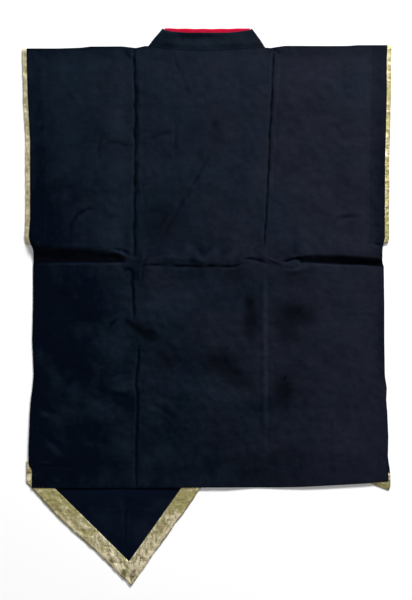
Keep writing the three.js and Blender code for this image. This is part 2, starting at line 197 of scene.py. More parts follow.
@dataclass(frozen=True)
class Layers:
    """How high cloth lies over the pieces beneath it. Reach and slope are the distances outside an
    edge over which it comes down; arm_end is how high up the coat each armhole ends."""

    reach: float = 31.0
    slope: float = 60.0
    arm_reach: float = 22.0
    arm_slope: float = 40.0
    arm_hidden: float = 28.0
    left_arm_end: float = 112.8
    right_arm_end: float = 115.6

    def arm_end(self, x: Array) -> Array:
        """How high up the coat the armhole on each place's side ends."""
        return np.where(x < 0, self.left_arm_end, self.right_arm_end)

    def over(self, cuts: Sequence[Cut], x: Array, y: Array) -> Array:
        """Height over a front inside these cuts: one layer, and one strip more at its rim.

        It rises from reach + slope to reach outside the nearest cut, and the strip's part sinks
        again over the same distances past the rim.

        Args:
            cuts: the front's edges.
            x, y: places.

        Returns:
            Height at each place.
        """
        inside = np.minimum.reduce([cut.depth(x, y) for cut in cuts])
        panel = ease(inside, -self.reach - self.slope, -self.reach)
        past = COLLAR_WIDTH + self.reach
        rim = panel * (1.0 - ease(inside, past, past + self.slope))
        return LAYER * panel + STRIP * rim

    def under_right_front(self, x: Array, y: Array) -> Array:
        """Underside of the right front, where it crosses the left one."""
        return self.over((LEFT_LONG_HEM, LEFT_OPENING), x, y)

    def arm_strips(self, x: Array, y: Array) -> Array:
        """Height of the two gold strips behind each armhole's edge, eased to nothing inwards and
        below the armhole.

        Args:
            x, y: places.

        Returns:
            Height at each place.
        """
        from_edge = np.minimum(x - LEFT_SIDE(y), RIGHT_SIDE(y) - x) - self.arm_hidden
        across = 1.0 - ease(from_edge, self.arm_reach, self.arm_reach + self.arm_slope)
        along = ease(y - self.arm_end(x), -self.arm_reach - self.arm_slope / 2, -self.arm_reach / 2)
        return 2 * STRIP * across * along

    def under_back(self, x: Array, y: Array) -> Array:
        """What the back lies on, before any air or crease: both fronts and the strips.

        Args:
            x, y: places.

        Returns:
            Height at each place.
        """
        left = self.over((LEFT_SHORT_HEM, LEFT_LONG_HEM, LEFT_OPENING), x, y)
        right = self.over((RIGHT_OPENING, RIGHT_HEM), x, y)
        return left + right + self.arm_strips(x, y)


# How uneven a crease is along its run, as rows of share, length in millimetres and turn
SWAY_WAVES: Rows = ((0.30, 7.0, 1.0), (0.22, 17.0, 2.0))
HEIGHT_WAVES: Rows = ((0.18, 11.0, -1.0), (0.12, 4.3, 1.0))
WIDTH_WAVES: Rows = ((0.20, 9.0, 3.0),)


def uneven(waves: Rows, run: Array, start: float) -> Array:
    """The sum of share * sin(run / length + turn * start) over the rows."""
    return sum(share * np.sin(run / length + turn * start) for share, length, turn in waves)


@dataclass(frozen=True)
class Crease:
    """A ridge (positive height) or groove (negative) along a bent line, with a bell across it.

    It fades at its ends over some widths or a share of the line, whichever is less.
    """

    what: str
    path: tuple[Point, ...]
    height: float
    width: float
    sway: float = 1.0
    fade_widths: float = 12.0
    fade_share: float = 0.45
    overrun: float = 0.05
    start_from: Point = (0.7, 0.3)

    def follow(self, x: Array, y: Array) -> tuple[Array, Array, float]:
        """Finds the place on the line that is nearest to each place.

        Args:
            x, y: places.

        Returns:
            The distance to it, under zero on the line's left; how far along the line it is; and
            the line's length.
        """
        nearest = np.full(x.shape, np.inf)
        signed, run = np.zeros(x.shape), np.zeros(x.shape)
        length = 0.0
        for (x0, y0), (x1, y1) in zip(self.path, self.path[1:]):
            step = math.hypot(x1 - x0, y1 - y0)
            t = np.clip(((x - x0) * (x1 - x0) + (y - y0) * (y1 - y0)) / step**2, 0.0, 1.0)
            away = np.hypot(x - x0 - t * (x1 - x0), y - y0 - t * (y1 - y0))
            side = np.sign((x - x0) * (y1 - y0) - (y - y0) * (x1 - x0))
            closer = away < nearest
            nearest = np.where(closer, away, nearest)
            signed = np.where(closer, away * side, signed)
            run = np.where(closer, length + t * step, run)
            length += step
        return signed, run, length

    def __call__(self, x: Array, y: Array) -> Array:
        """Height at each place: h * exp(-(d / w)^2), where d is the distance to the line.

        Along the line d sways by up to half a width times sway, and h and w rise and fall by a
        quarter, as sums of sines of the run that start from the line's first point.

        Args:
            x, y: places.

        Returns:
            Height at each place.
        """
        signed, run, length = self.follow(x, y)
        start = self.start_from[0] * self.path[0][0] + self.start_from[1] * self.path[0][1]
        sway = self.sway * self.width * uneven(SWAY_WAVES, run, start)
        height = self.height * (1.0 + uneven(HEIGHT_WAVES, run, start))
        width = self.width * (1.0 + uneven(WIDTH_WAVES, run, start))
        fade = min(self.fade_widths * self.width, self.fade_share * length)
        ends = ease(run, -self.overrun * fade, fade) * ease(length - run, -self.overrun * fade, fade)
        return height * ends * bell(signed + sway, width)


@dataclass(frozen=True)
class Fold:
    """A press fold across the coat: the cloth sinks from its upper line to its lower line, then
    comes up again sharply.

    Crest is a swell above the upper line, and dark is how dark its inside is painted, a painted
    shade. The corners are in shares of the way down, and so is dark_down; other spans are
    millimetres.
    """

    what: str
    upper: Edge
    lower: Edge
    depth: Edge
    crest: Edge
    crest_width: float = 42.0
    corner: float = 0.12
    climb: Span = (-0.5, 4.0)
    past_end: float = 4.0
    before_end: float = 12.0
    dark: float = 0.8
    dark_down: Span = (-0.12, 0.35)
    dark_past: Span = (-1.0, 1.5)

    def across(self, x: Array, y: Array) -> tuple[Array, Array, Array]:
        """Where places are across the fold.

        Args:
            x, y: places.

        Returns:
            The way down, 0 on the upper line and 1 on the lower one; the distance past the lower
            line; and 1 along the fold, falling to 0 past its ends.
        """
        high, low = self.upper(x), self.lower(x)
        first, last = self.upper.at[0], self.upper.at[-1]
        ends = ease(x, first - self.past_end, first + self.before_end)
        ends = ends * (1.0 - ease(x, last - self.before_end, last + self.past_end))
        return (high - y) / (high - low), low - y, ends

    def __call__(self, x: Array, y: Array) -> Array:
        """Height at each place.

        The way down is a straight slope with rounded corners, (h(s) - h(s - 1) + 1) / 2 with
        h(s) = sqrt(s^2 + corner^2), from the crest to -depth. Past the lower line the cloth climbs
        to nothing. Above the upper line the crest is a wide bell.

        Args:
            x, y: places.

        Returns:
            Height at each place.
        """
        s, past, ends = self.across(x, y)
        drop = (np.hypot(s, self.corner) - np.hypot(s - 1.0, self.corner) + 1.0) / 2.0
        swell = bell(np.maximum(y - self.upper(x), 0.0), self.crest_width)
        sunk = self.depth(x) * drop * (1.0 - ease(past, *self.climb))
        return ends * (self.crest(x) * swell * (1.0 - drop) - sunk)

    def shade(self, x: Array, y: Array) -> Array:
        """Painted shade: how dark each place is, between the two lines."""
        s, past, ends = self.across(x, y)
        return self.dark * ends * ease(s, *self.dark_down) * (1.0 - ease(past, *self.dark_past))


@dataclass(frozen=True)
class Shade:
    """A soft oval of this strength, with half sizes along and aside, turned by degrees."""

    at: Point
    size: Point
    strength: float
    turn: float = 0.0

    def __call__(self, x: Array, y: Array) -> Array:
        """strength * exp(-r^3), where r is the distance in half sizes.

        Args:
            x, y: places.

        Returns:
            The shade at each place.
        """
        c, s = math.cos(math.radians(self.turn)), math.sin(math.radians(self.turn))
        along = ((x - self.at[0]) * c + (y - self.at[1]) * s) / self.size[0]
        aside = ((y - self.at[1]) * c - (x - self.at[0]) * s) / self.size[1]
        return self.strength * np.exp(-((along**2 + aside**2) ** 1.5))


@dataclass(frozen=True)
class Crumple:
    """Unevenness of worn cloth: a sum of plane waves with seeded directions and lengths. They are
    cosines, or triangle waves where the cloth is crushed in facets."""

    seed: int
    height: float
    shortest: float
    longest: float
    waves: int = 36
    facets: bool = False

    def __call__(self, x: Array, y: Array) -> Array:
        """Height at each place: the sum of h * wave(k . p + phase) over all waves.

        Args:
            x, y: places.

        Returns:
            Height at each place, over and under zero.
        """
        draw = np.random.default_rng(self.seed)
        angle = draw.uniform(0.0, math.pi, self.waves)
        length = self.shortest * (self.longest / self.shortest) ** draw.uniform(0, 1, self.waves)
        phase = draw.uniform(0.0, 2 * math.pi, self.waves)
        share = (length / self.longest) / math.sqrt(self.waves / 2)
        height = np.zeros(x.shape)
        for a, span, start, part in zip(angle, length, phase, share):
            turn = 2 * math.pi / span
            wave = np.cos(turn * (math.cos(a) * x + math.sin(a) * y) + start)
            height += part * (np.arcsin(wave) * 2.0 / math.pi if self.facets else wave)
        return self.height * height


# Creases of the back, as name, line, height, width across and, where it isn't 1, sway
BACK_CREASES = tuple(Crease(*row) for row in (
    ("left crease, shoulder to waist",
     ((-130, 474), (-128, 340), (-129, 200), (-130, 125), (-127, 81)), -4.2, 3.4, 0.6),
    ("its lit edge", ((-121, 467), (-120, 283), (-120, 112)), 0.4, 4.0),
    ("left crease under the waist", ((-128, 74), (-134, 40), (-132, 13), (-131, -30)), -2.6, 2.6),
    ("left crease, lower part",
     ((-122, -62), (-124, -104), (-128, -140), (-124, -160), (-127, -240), (-127, -329)),
     -2.9, 2.6, 0.4),
    ("its lower lit edge", ((-119, -68), (-120, -122), (-123, -167), (-121, -221)), 0.4, 4.0),
    ("right crease, neck to waist", ((121, 474), (113, 319), (108, 193), (102, 103)), -1.9, 2.2, 0.5),
    ("its lit edge", ((129, 460), (120, 319), (114, 180)), 0.7, 3.6),
    ("right pressed ridge", ((103, 70), (104, -59), (106, -260)), 0.55, 4.4, 0.3),
    ("right ridge's left side", ((98, 64), (98, -59), (100, -196)), -0.12, 3.0, 0.3),
    ("right ridge's right side", ((111, 58), (111, -59), (112, -196)), -0.1, 3.0, 0.3),
    ("left arm wrinkle", ((-291, 103), (-228, 107), (-160, 92)), 0.6, 4.0),
    ("left arm small wrinkle", ((-246, 112), (-192, 110), (-142, 92)), 0.45, 3.0),
    ("waist ridge", ((-117, 90), (-57, 89), (15, 87), (90, 94)), 3.3, 13.0),
    ("waist groove, left", ((-120, 73), (-99, 76), (-70, 76)), -1.0, 2.3),
    ("waist groove, middle", ((-75, 76), (-30, 73), (30, 73)), -1.1, 2.0),
    ("waist groove, right", ((14, 72), (49, 73), (71, 80)), -1.4, 2.0),
    ("waist upper groove", ((-109, 94), (-48, 94), (-12, 93)), -0.25, 3.0),
    ("cross, right of the crease", ((60, 87), (78, 87), (99, 83), (116, 73)), -1.8, 2.4),
    ("cross, upper right", ((118, 87), (136, 83), (163, 87), (172, 79), (186, 76)), -1.8, 2.2),
    ("cross, lower right ridge", ((125, 67), (150, 65), (177, 71), (200, 78)), 1.1, 3.5),
    ("cross, long ridge", ((99, 94), (123, 81), (150, 78)), 1.4, 3.5),
    ("left cross, lower fan", ((-117, 74), (-120, 60), (-125, 38)), 1.4, 3.2),
    ("left cross, upper fan", ((-109, 103), (-118, 81), (-122, 63)), 1.2, 3.2),
    ("left cross hook", ((-150, 58), (-144, 68), (-136, 65), (-130, 45)), -1.6, 2.8),
    ("left collar's mark", ((-64, 463), (-48, 423), (-28, 378)), -0.7, 2.6),
    ("right collar's mark, top", ((9, 300), (-19, 243), (-45, 198)), 0.6, 2.6),
    ("right collar's mark, low", ((-40, 206), (-70, 157), (-99, 103)), 0.5, 2.4),
    ("right collar's mark, shade", ((4, 272), (-37, 198), (-61, 157), (-88, 107)), -0.28, 3.2),
    ("neck point dent", ((13, 341), (11, 315)), -0.62, 9.0),
    ("neck point ridge", ((2, 301), (11, 350), (27, 323)), 0.6, 3.6),
    ("left arc", ((-243, 121), (-244, 150), (-234, 168), (-214, 175), (-187, 175)), -0.56, 3.4),
    ("left arc's inner side", ((-235, 125), (-234, 150), (-221, 164), (-192, 168)), 0.31, 5.0),
    ("left upper wrinkle", ((-196, 265), (-192, 301), (-184, 328)), -0.37, 3.0),
    ("left upper cross wrinkle", ((-185, 299), (-163, 296), (-136, 289)), -0.9, 2.8),
    ("left small shoulder fold", ((-152, 467), (-141, 455), (-131, 441)), -1.1, 2.6),
    ("left small shoulder ridge", ((-146, 469), (-134, 458)), 0.9, 2.8),
    ("short upright wrinkle", ((-56, 336), (-55, 300), (-56, 272)), -1.0, 1.9),
    ("soft cross wrinkle", ((-115, 299), (-84, 308), (-52, 314)), -0.6, 4.5),
    ("soft upper wrinkle", ((-55, 441), (-63, 413), (-48, 380)), -0.25, 4.0),
    ("right soft wrinkle", ((222, 337), (247, 305), (272, 290)), -0.42, 4.4),
    ("right arc", ((222, 143), (235, 159), (258, 164), (285, 164)), -0.9, 2.6),
    ("right arc's lower side", ((232, 143), (256, 156), (282, 157)), 0.5, 4.0),
    ("bent wrinkle, left side", ((-181, -46), (-171, -30), (-154, -18)), -0.68, 3.2),
    ("bent wrinkle, top", ((-174, -23), (-156, -12), (-142, -19)), 0.56, 3.0),
    ("bent wrinkle, middle", ((-154, -18), (-138, -32), (-117, -43)), -1.18, 4.6),
    ("bent wrinkle, right side", ((-120, -41), (-99, -46), (-84, -57)), -0.93, 3.6),
    ("bent wrinkle, its end", ((-84, -57), (-63, -72), (-30, -81)), -0.43, 5.0),
    ("soft diagonal", ((-30, -81), (33, -106), (99, -138)), -0.5, 11.0),
    ("pocket, upper lip", ((-181, -133), (-156, -126), (-131, -129)), 1.0, 4.4),
    ("pocket, lower lip", ((-176, -151), (-153, -158), (-131, -154)), -1.0, 4.2),
    ("pocket, left side", ((-187, -113), (-190, -138), (-174, -160)), -0.5, 5.5),
    ("long diagonal", ((-109, -156), (-91, -178), (-73, -189), (-50, -198)), -0.56, 3.6),
    ("long diagonal's upper side", ((-102, -151), (-81, -171), (-55, -183)), 0.37, 5.0),
    ("bright shoulder of the lower left", ((-109, -113), (-48, -124), (51, -145)), 0.43, 9.0),
    ("right short line", ((229, -12), (261, -14), (317, -14)), -0.37, 2.6),
    ("right short line, upper", ((243, 29), (272, 26)), -0.25, 3.0),
    ("pinch, upper left", ((71, 8), (78, 6), (85, 15)), -0.8, 2.8),
    ("pinch, upper right", ((153, -10), (162, -10), (171, 2)), -0.85, 2.8),
    ("pinch, middle", ((26, -77), (33, -77), (40, -68)), -0.75, 2.8),
    ("pinch, lower right", ((132, -127), (137, -131), (144, -120)), -0.85, 2.8),
    ("right soft fold", ((261, -131), (265, -156)), -0.37, 3.4),
    ("side wrinkle 1", ((-302, -186), (-286, -194), (-268, -204)), 1.0, 5.2),
    ("side wrinkle 2", ((-318, -225), (-291, -226), (-278, -239), (-255, -261)), -1.6, 4.0),
    ("side wrinkle 3", ((-289, -240), (-273, -256), (-260, -270)), 0.3, 7.0),
    ("side wrinkle 4", ((-318, -284), (-276, -287), (-226, -286)), -1.3, 2.4),
    ("side wrinkle 5", ((-313, -277), (-291, -280), (-270, -281)), 0.8, 3.6),
    ("fold's end, upper", ((-172, 106), (-150, 101), (-131, 92)), -1.0, 2.4),
    ("fold's end, ridge", ((-178, 100), (-154, 96), (-136, 88)), 0.9, 2.8),
    ("fold's end, lower", ((-204, 92), (-168, 90), (-142, 84)), -0.8, 2.4),
    ("right shoulder fold", ((121, 470), (126, 460), (135, 453)), -0.9, 2.2),
    ("right shoulder fold, left", ((119, 470), (114, 459), (106, 452)), -0.6, 2.2),
    ("right shoulder ridge", ((124, 466), (133, 462), (144, 462)), 0.6, 2.4),
    ("arm's end, right", ((298, 118), (306, 112), (316, 109)), -1.0, 2.4),
    ("arm's end, right ridge", ((294, 112), (304, 106), (316, 101)), 0.9, 2.6),
    ("right side's small line", ((288, 152), (302, 147), (318, 147)), -0.4, 2.4),
    ("right edge wrinkle", ((297, -280), (312, -283), (324, -280)), -0.43, 2.8),
    ("right edge wrinkle, upper", ((297, -158), (310, -163), (321, -172)), -0.37, 3.2),
    ("hollow under the left arm", ((-300, 31), (-246, 13), (-174, 20)), -0.9, 14.0),
    ("hollow, lower left", ((-300, -59), (-264, -122), (-192, -153)), -1.1, 16.0),
    ("hollow, lower left, under", ((-228, -203), (-201, -239), (-174, -257)), -0.8, 12.0),
    ("swell, lower left", ((-264, -41), (-219, -68), (-171, -77)), 0.9, 12.0),
    ("hollow, right of the middle", ((60, -19), (99, -34), (150, -41)), -1.0, 13.0),
    ("hollow, lower middle", ((123, -140), (141, -153), (146, -171)), -0.8, 10.0),
    ("hollow over the waist", ((-120, 184), (-75, 161), (-52, 135)), -0.9, 12.0),
))

# Press folds of the back, one on each side of the waist
BACK_FOLDS = (
    Fold(
        "waist fold, left side",
        upper=Edge((-330, -309, -237, -195, -162, -144), (112, 112, 109.5, 105, 98, 90)),
        lower=Edge((-330, -144), (81.5, 81.5)),
        depth=Edge((-330, -144), (3.6, 2.4)),
        crest=Edge((-330, -144), (7.5, 2.4)),
    ),
    Fold(
        "waist fold, right side",
        upper=Edge((158, 178, 204, 240, 276, 303, 332), (91, 94, 95, 94, 90.5, 88.5, 86)),
        lower=Edge((158, 178, 204, 240, 276, 303, 332), (84, 81.5, 80, 78, 78, 76, 75)),
        depth=Edge((158, 332), (1.8, 3.6)),
        crest=Edge((158, 204, 332), (1.5, 4.5, 6.5)),
        dark=0.9,
    ),
)

# Painted highlight (over zero) and painted shade (under zero) on lit wrinkles, soft hollows
# and edges of the back, with some paler and deeper tone, as place, half sizes, strength and turn
BACK_SHADES = tuple(Shade(*row) for row in (
    ((-303, 75), (20, 423), -0.21),
    ((-236, 12), (68, 86), -0.29),
    ((-263, -261), (86, 65), -0.17),
    ((-285, -153), (36, 43), -0.17),
    ((-278, 165), (58, 65), -0.25),
    ((-159, 354), (22, 99), 0.17),
    ((-159, 210), (22, 90), 0.12),
    ((-168, -69), (32, 27), 0.21),
    ((-177, -182), (29, 27), 0.29),
    ((-150, -236), (18, 40), 0.21),
    ((-29, 322), (18, 14), -0.17),
    ((-11, -146), (104, 14), 0.19, -11),
    ((-62, 12), (61, 36), 0.21),
    ((-128, 63), (23, 29), -0.17),
    ((313, 210), (14, 270), -0.21),
    ((232, -240), (61, 54), 0.1),
    ((-101, -308), (162, 18), 0.12),
    ((-249, -92), (90, 16), -0.21, -38),
    ((-159, -171), (43, 16), -0.21, -40),
    ((-272, -123), (68, 16), 0.17, -38),
    ((-152, -139), (25, 11), 0.42),
    ((-145, -168), (22, 12), -0.32, -20),
    ((-98, -175), (25, 18), 0.25),
    ((-213, -38), (25, 16), 0.21),
    ((-74, -269), (58, 25), 0.19),
    ((232, 462), (126, 14), -0.25),
    ((-218, 459), (90, 14), -0.17),
    ((315, -60), (11, 72), -0.29),
    ((-310, 12), (7, 90), -0.29),
    ((100, -175), (32, 13), -0.17),
    ((105, -60), (5, 160), 0.3),
    ((-300, -70), (18, 30), 0.2),
    ((-245, -190), (30, 22), 0.15),
    ((-285, -197), (24, 7), 0.34, -26),
    ((-274, -256), (22, 7), 0.16, -44),
    ((-299, -279), (14, 4), 0.24),
    ((-306, -304), (12, 9), 0.18),
    ((-300, -226), (22, 4), -0.26),
    ((-266, -250), (18, 5), -0.26, -42),
    ((-272, -286), (48, 2.5), -0.3),
    ((-150, 30), (14, 50), 0.12),
    ((-285, -205), (42, 95), 0.2),
    ((-225, 77.5), (95, 2.6), 0.14),
    ((314, 108), (12, 26), -0.25),
))

# Painted shade in soft dents where the cloth is pinched, in the same form
BACK_PAINTED_SHADE = tuple(Shade(*row) for row in (
    ((16, 310), (13, 24), 0.34),
    ((-84, 150), (40, 26), 0.36),
    ((-114, -45), (30, 10), 0.66, -32),
    ((-65, -90), (34, 20), 0.36),
    ((24, -97), (42, 24), 0.50, -8),
    ((60, -130), (36, 14), 0.34, -35),
    ((80, -22), (14, 36), 0.50),
    ((74, 10), (10, 14), 0.40),
    ((158, -12), (36, 22), 0.56),
    ((145, -50), (20, 18), 0.32),
    ((138, -150), (20, 30), 0.56),
    ((-20, 59), (18, 14), 0.22),
    ((52, 57), (24, 14), 0.30),
    ((140, 52), (46, 12), 0.18),
    ((61, 345), (27, 18), 0.16),
))


# How many samples of their density the stations of a grid are worked out from
STATION_SAMPLES = 4001


def stations(start: float, end: float, step: float, close: Rows) -> Array:
    """Places from start to end that lie closer together near some of them.

    Args:
        start: first place.
        end: last place.
        step: distance between places away from the close ones.
        close: middle, half width and step of each close stretch.

    Returns:
        An odd number of rising places. Their density is 1 / step, plus a bell for each close
        stretch, and they stand at equal parts of its running sum.
    """
    fine = np.linspace(start, end, STATION_SAMPLES)
    density = np.full(fine.shape, 1.0 / step)
    for middle, half, near in close:
        density += (1.0 / near - 1.0 / step) * bell(fine - middle, half)
    total = np.concatenate(([0.0], np.cumsum((density[1:] + density[:-1]) / 2 * np.diff(fine))))
    count = 2 * round(total[-1] / 2) + 1
    return np.interp(np.linspace(0, total[-1], count), total, fine)


def stack(x: Array, y: Array, z: Array) -> Array:
    """Three arrays of coordinates as one array of places."""
    return np.stack(np.broadcast_arrays(x, y, z), axis=-1).astype(float)


def chain(points: Sequence[Sequence[float]], t: Array) -> Array:
    """Places along a bent line of points, with t counting its pieces."""
    index = np.arange(len(points))
    return np.stack([np.interp(t, index, line) for line in np.array(points, float).T], axis=-1)


def run_along(line: Array) -> Array:
    """How far along a line each of its places is, as the running sum of its steps."""
    return np.concatenate(([0.0], np.cumsum(np.linalg.norm(np.diff(line, axis=0), axis=1))))


def cavity(height: Array, spread: int = 3) -> Array:
    """How far each place stands over its surroundings on the grid: height less a box mean.

    Args:
        height: heights on a grid.
        spread: how many places the box reaches to each side.

    Returns:
        The difference on the same grid.
    """
    padded = np.pad(height, spread, mode="edge")
    size = 2 * spread + 1
    total = np.zeros(height.shape)
    for i in range(size):
        for j in range(size):
            total += padded[i:i + height.shape[0], j:j + height.shape[1]]
    return height - total / size**2


def put_mesh(name: str, places: Array, faces: list[list[int]], uv: Array, wear_and_painted_shading: Array,
             painted_shade: Array | None = None) -> Piece:
    """Makes a smooth mesh object at the origin.

    Args:
        name: name of the piece.
        places: its corners in millimetres, one row each.
        faces: the corners of each face, counter-clockwise from outside.
        uv: two numbers for each corner, in metres along and across the cloth.
        wear_and_painted_shading: one number for each corner, over zero where paler and under zero
            where darker: wear on ridges, painted shade in grooves, and painted highlights and shades.
        painted_shade: one number for each corner, from 0 to 1 where the cloth is painted all dark as shade.

    Returns:
        The object, riding on the coat's body.
    """
    mesh = bpy.data.meshes.new(name)
    mesh.from_pydata((places * MM).tolist(), [], faces)
    mesh.polygons.foreach_set("use_smooth", np.ones(len(mesh.polygons), bool))
    corner = np.zeros(len(mesh.loops), np.int32)
    mesh.loops.foreach_get("vertex_index", corner)
    mesh.uv_layers.new(name="cloth").data.foreach_set("uv", uv[corner].astype(np.float32).ravel())
    for key, values in (("wear_and_painted_shading", wear_and_painted_shading), ("painted_shade", painted_shade)):
        if values is not None:
            mesh.attributes.new(key, "FLOAT", "POINT").data.foreach_set("value", values.astype(np.float32))
    mesh.update()
    mesh.validate()
    piece = bpy.data.objects.new(name, mesh)
    bpy.context.scene.collection.objects.link(piece)
    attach(piece, "root")
    return piece


def rim_loop(rows: int, columns: int) -> Array:
    """Corner numbers round a grid's border, counter-clockwise with columns along X, rows along Y."""
    grid = np.arange(rows * columns).reshape(rows, columns)
    return np.concatenate((grid[0], grid[1:, -1], grid[-1, -2::-1], grid[-2:0:-1, 0]))


def put_wall(name: str, upper: Array, lower: Array, uv: Array, wear_and_painted_shading: Array,
             painted_shade: Array | None = None) -> Piece:
    """A closed wall of cloth between two grids of places.

    The upper face takes every place. The lower face takes every second row and column, and the
    rim joins the two with three triangles to each long edge. Columns run along X and rows along Y
    as seen from the upper side, and both counts are odd.

    Args:
        name: name of the piece.
        upper: places of the upper face, rows by columns by three.
        lower: places of the lower face on the same grid.
        uv: rows by columns by two.
        wear_and_painted_shading: rows by columns.
        painted_shade: rows by columns, or nothing where no shade is painted.

    Returns:
        The object.
    """
    rows, columns = upper.shape[:2]
    small = lower[::2, ::2]
    count = rows * columns
    top = np.arange(count).reshape(rows, columns)
    low = count + np.arange(small.shape[0] * small.shape[1]).reshape(small.shape[:2])
    quads = [top[:-1, :-1], top[:-1, 1:], top[1:, 1:], top[1:, :-1]]
    under = [low[:-1, :-1], low[1:, :-1], low[1:, 1:], low[:-1, 1:]]
    fine = rim_loop(rows, columns)
    coarse = count + rim_loop(*small.shape[:2])
    f0, f1, f2 = fine[0::2], fine[1::2], np.roll(fine, -2)[0::2]
    b0, b2 = coarse, np.roll(coarse, -1)
    faces = np.stack([a.ravel() for a in quads], axis=1).tolist()
    faces += np.stack([a.ravel() for a in under], axis=1).tolist()
    for triangle in ((b0, b2, f1), (b0, f1, f0), (b2, f2, f1)):
        faces += np.stack(triangle, axis=1).tolist()
    places = np.concatenate((upper.reshape(-1, 3), small.reshape(-1, 3)))
    all_uv = np.concatenate((uv.reshape(-1, 2), uv[::2, ::2].reshape(-1, 2)))
    hidden = np.zeros(small.shape[0] * small.shape[1])
    all_painted_shade = None if painted_shade is None else np.concatenate((painted_shade.ravel(), hidden))
    return put_mesh(name, places, faces, all_uv, np.concatenate((wear_and_painted_shading.ravel(), hidden)), all_painted_shade)


def put_laid(name: str, x: Array, y: Array, floor: Array, wall: float, wear_and_painted_shading: Array) -> Piece:
    """A wall of cloth straight up from this floor, with its own X and Y as its map."""
    return put_wall(name, stack(x, y, floor + wall), stack(x, y, floor), np.stack((x, y), axis=-1) * MM, wear_and_painted_shading)


class Finish(Enum):
    """The finishes that the coat's pieces take."""

    BACK = "back cotton"
    INSIDE = "inner cotton"
    COLLAR = "collar cotton"
    GOLD = "gold cloth"
    RED = "red cotton"
    THREAD = "sewing thread"
    GOLD_THREAD = "gold thread"


class Value:
    """A value socket of a material, for use in plain arithmetic; each step adds a Math node."""

    def __init__(self, bench: "Bench", socket: Socket) -> None:
        """Wraps a socket of the bench's material."""
        self.bench = bench
        self.socket = socket

    def math(self, operation: str, *others: "Value | float") -> "Value":
        """The result of a Math node on this value and the others."""
        inputs = dict(enumerate((self, *others)))
        return self.bench.value("ShaderNodeMath", {"operation": operation}, inputs)

    def __add__(self, other: "Value | float") -> "Value":
        """Sum."""
        return self.math("ADD", other)

    __radd__ = __add__

    def __sub__(self, other: "Value | float") -> "Value":
        """Difference."""
        return self.math("SUBTRACT", other)

    def __rsub__(self, other: float) -> "Value":
        """Difference, the other way round."""
        return (self * -1.0) + other

    def __mul__(self, other: "Value | float") -> "Value":
        """Product."""
        return self.math("MULTIPLY", other)

    __rmul__ = __mul__

    def clip(self, low: float, high: float) -> "Value":
        """This value's place between low and high, from 0 to 1."""
        inputs = {"Value": self, "From Min": low, "From Max": high}
        return self.bench.value("ShaderNodeMapRange", {"clamp": True}, inputs)


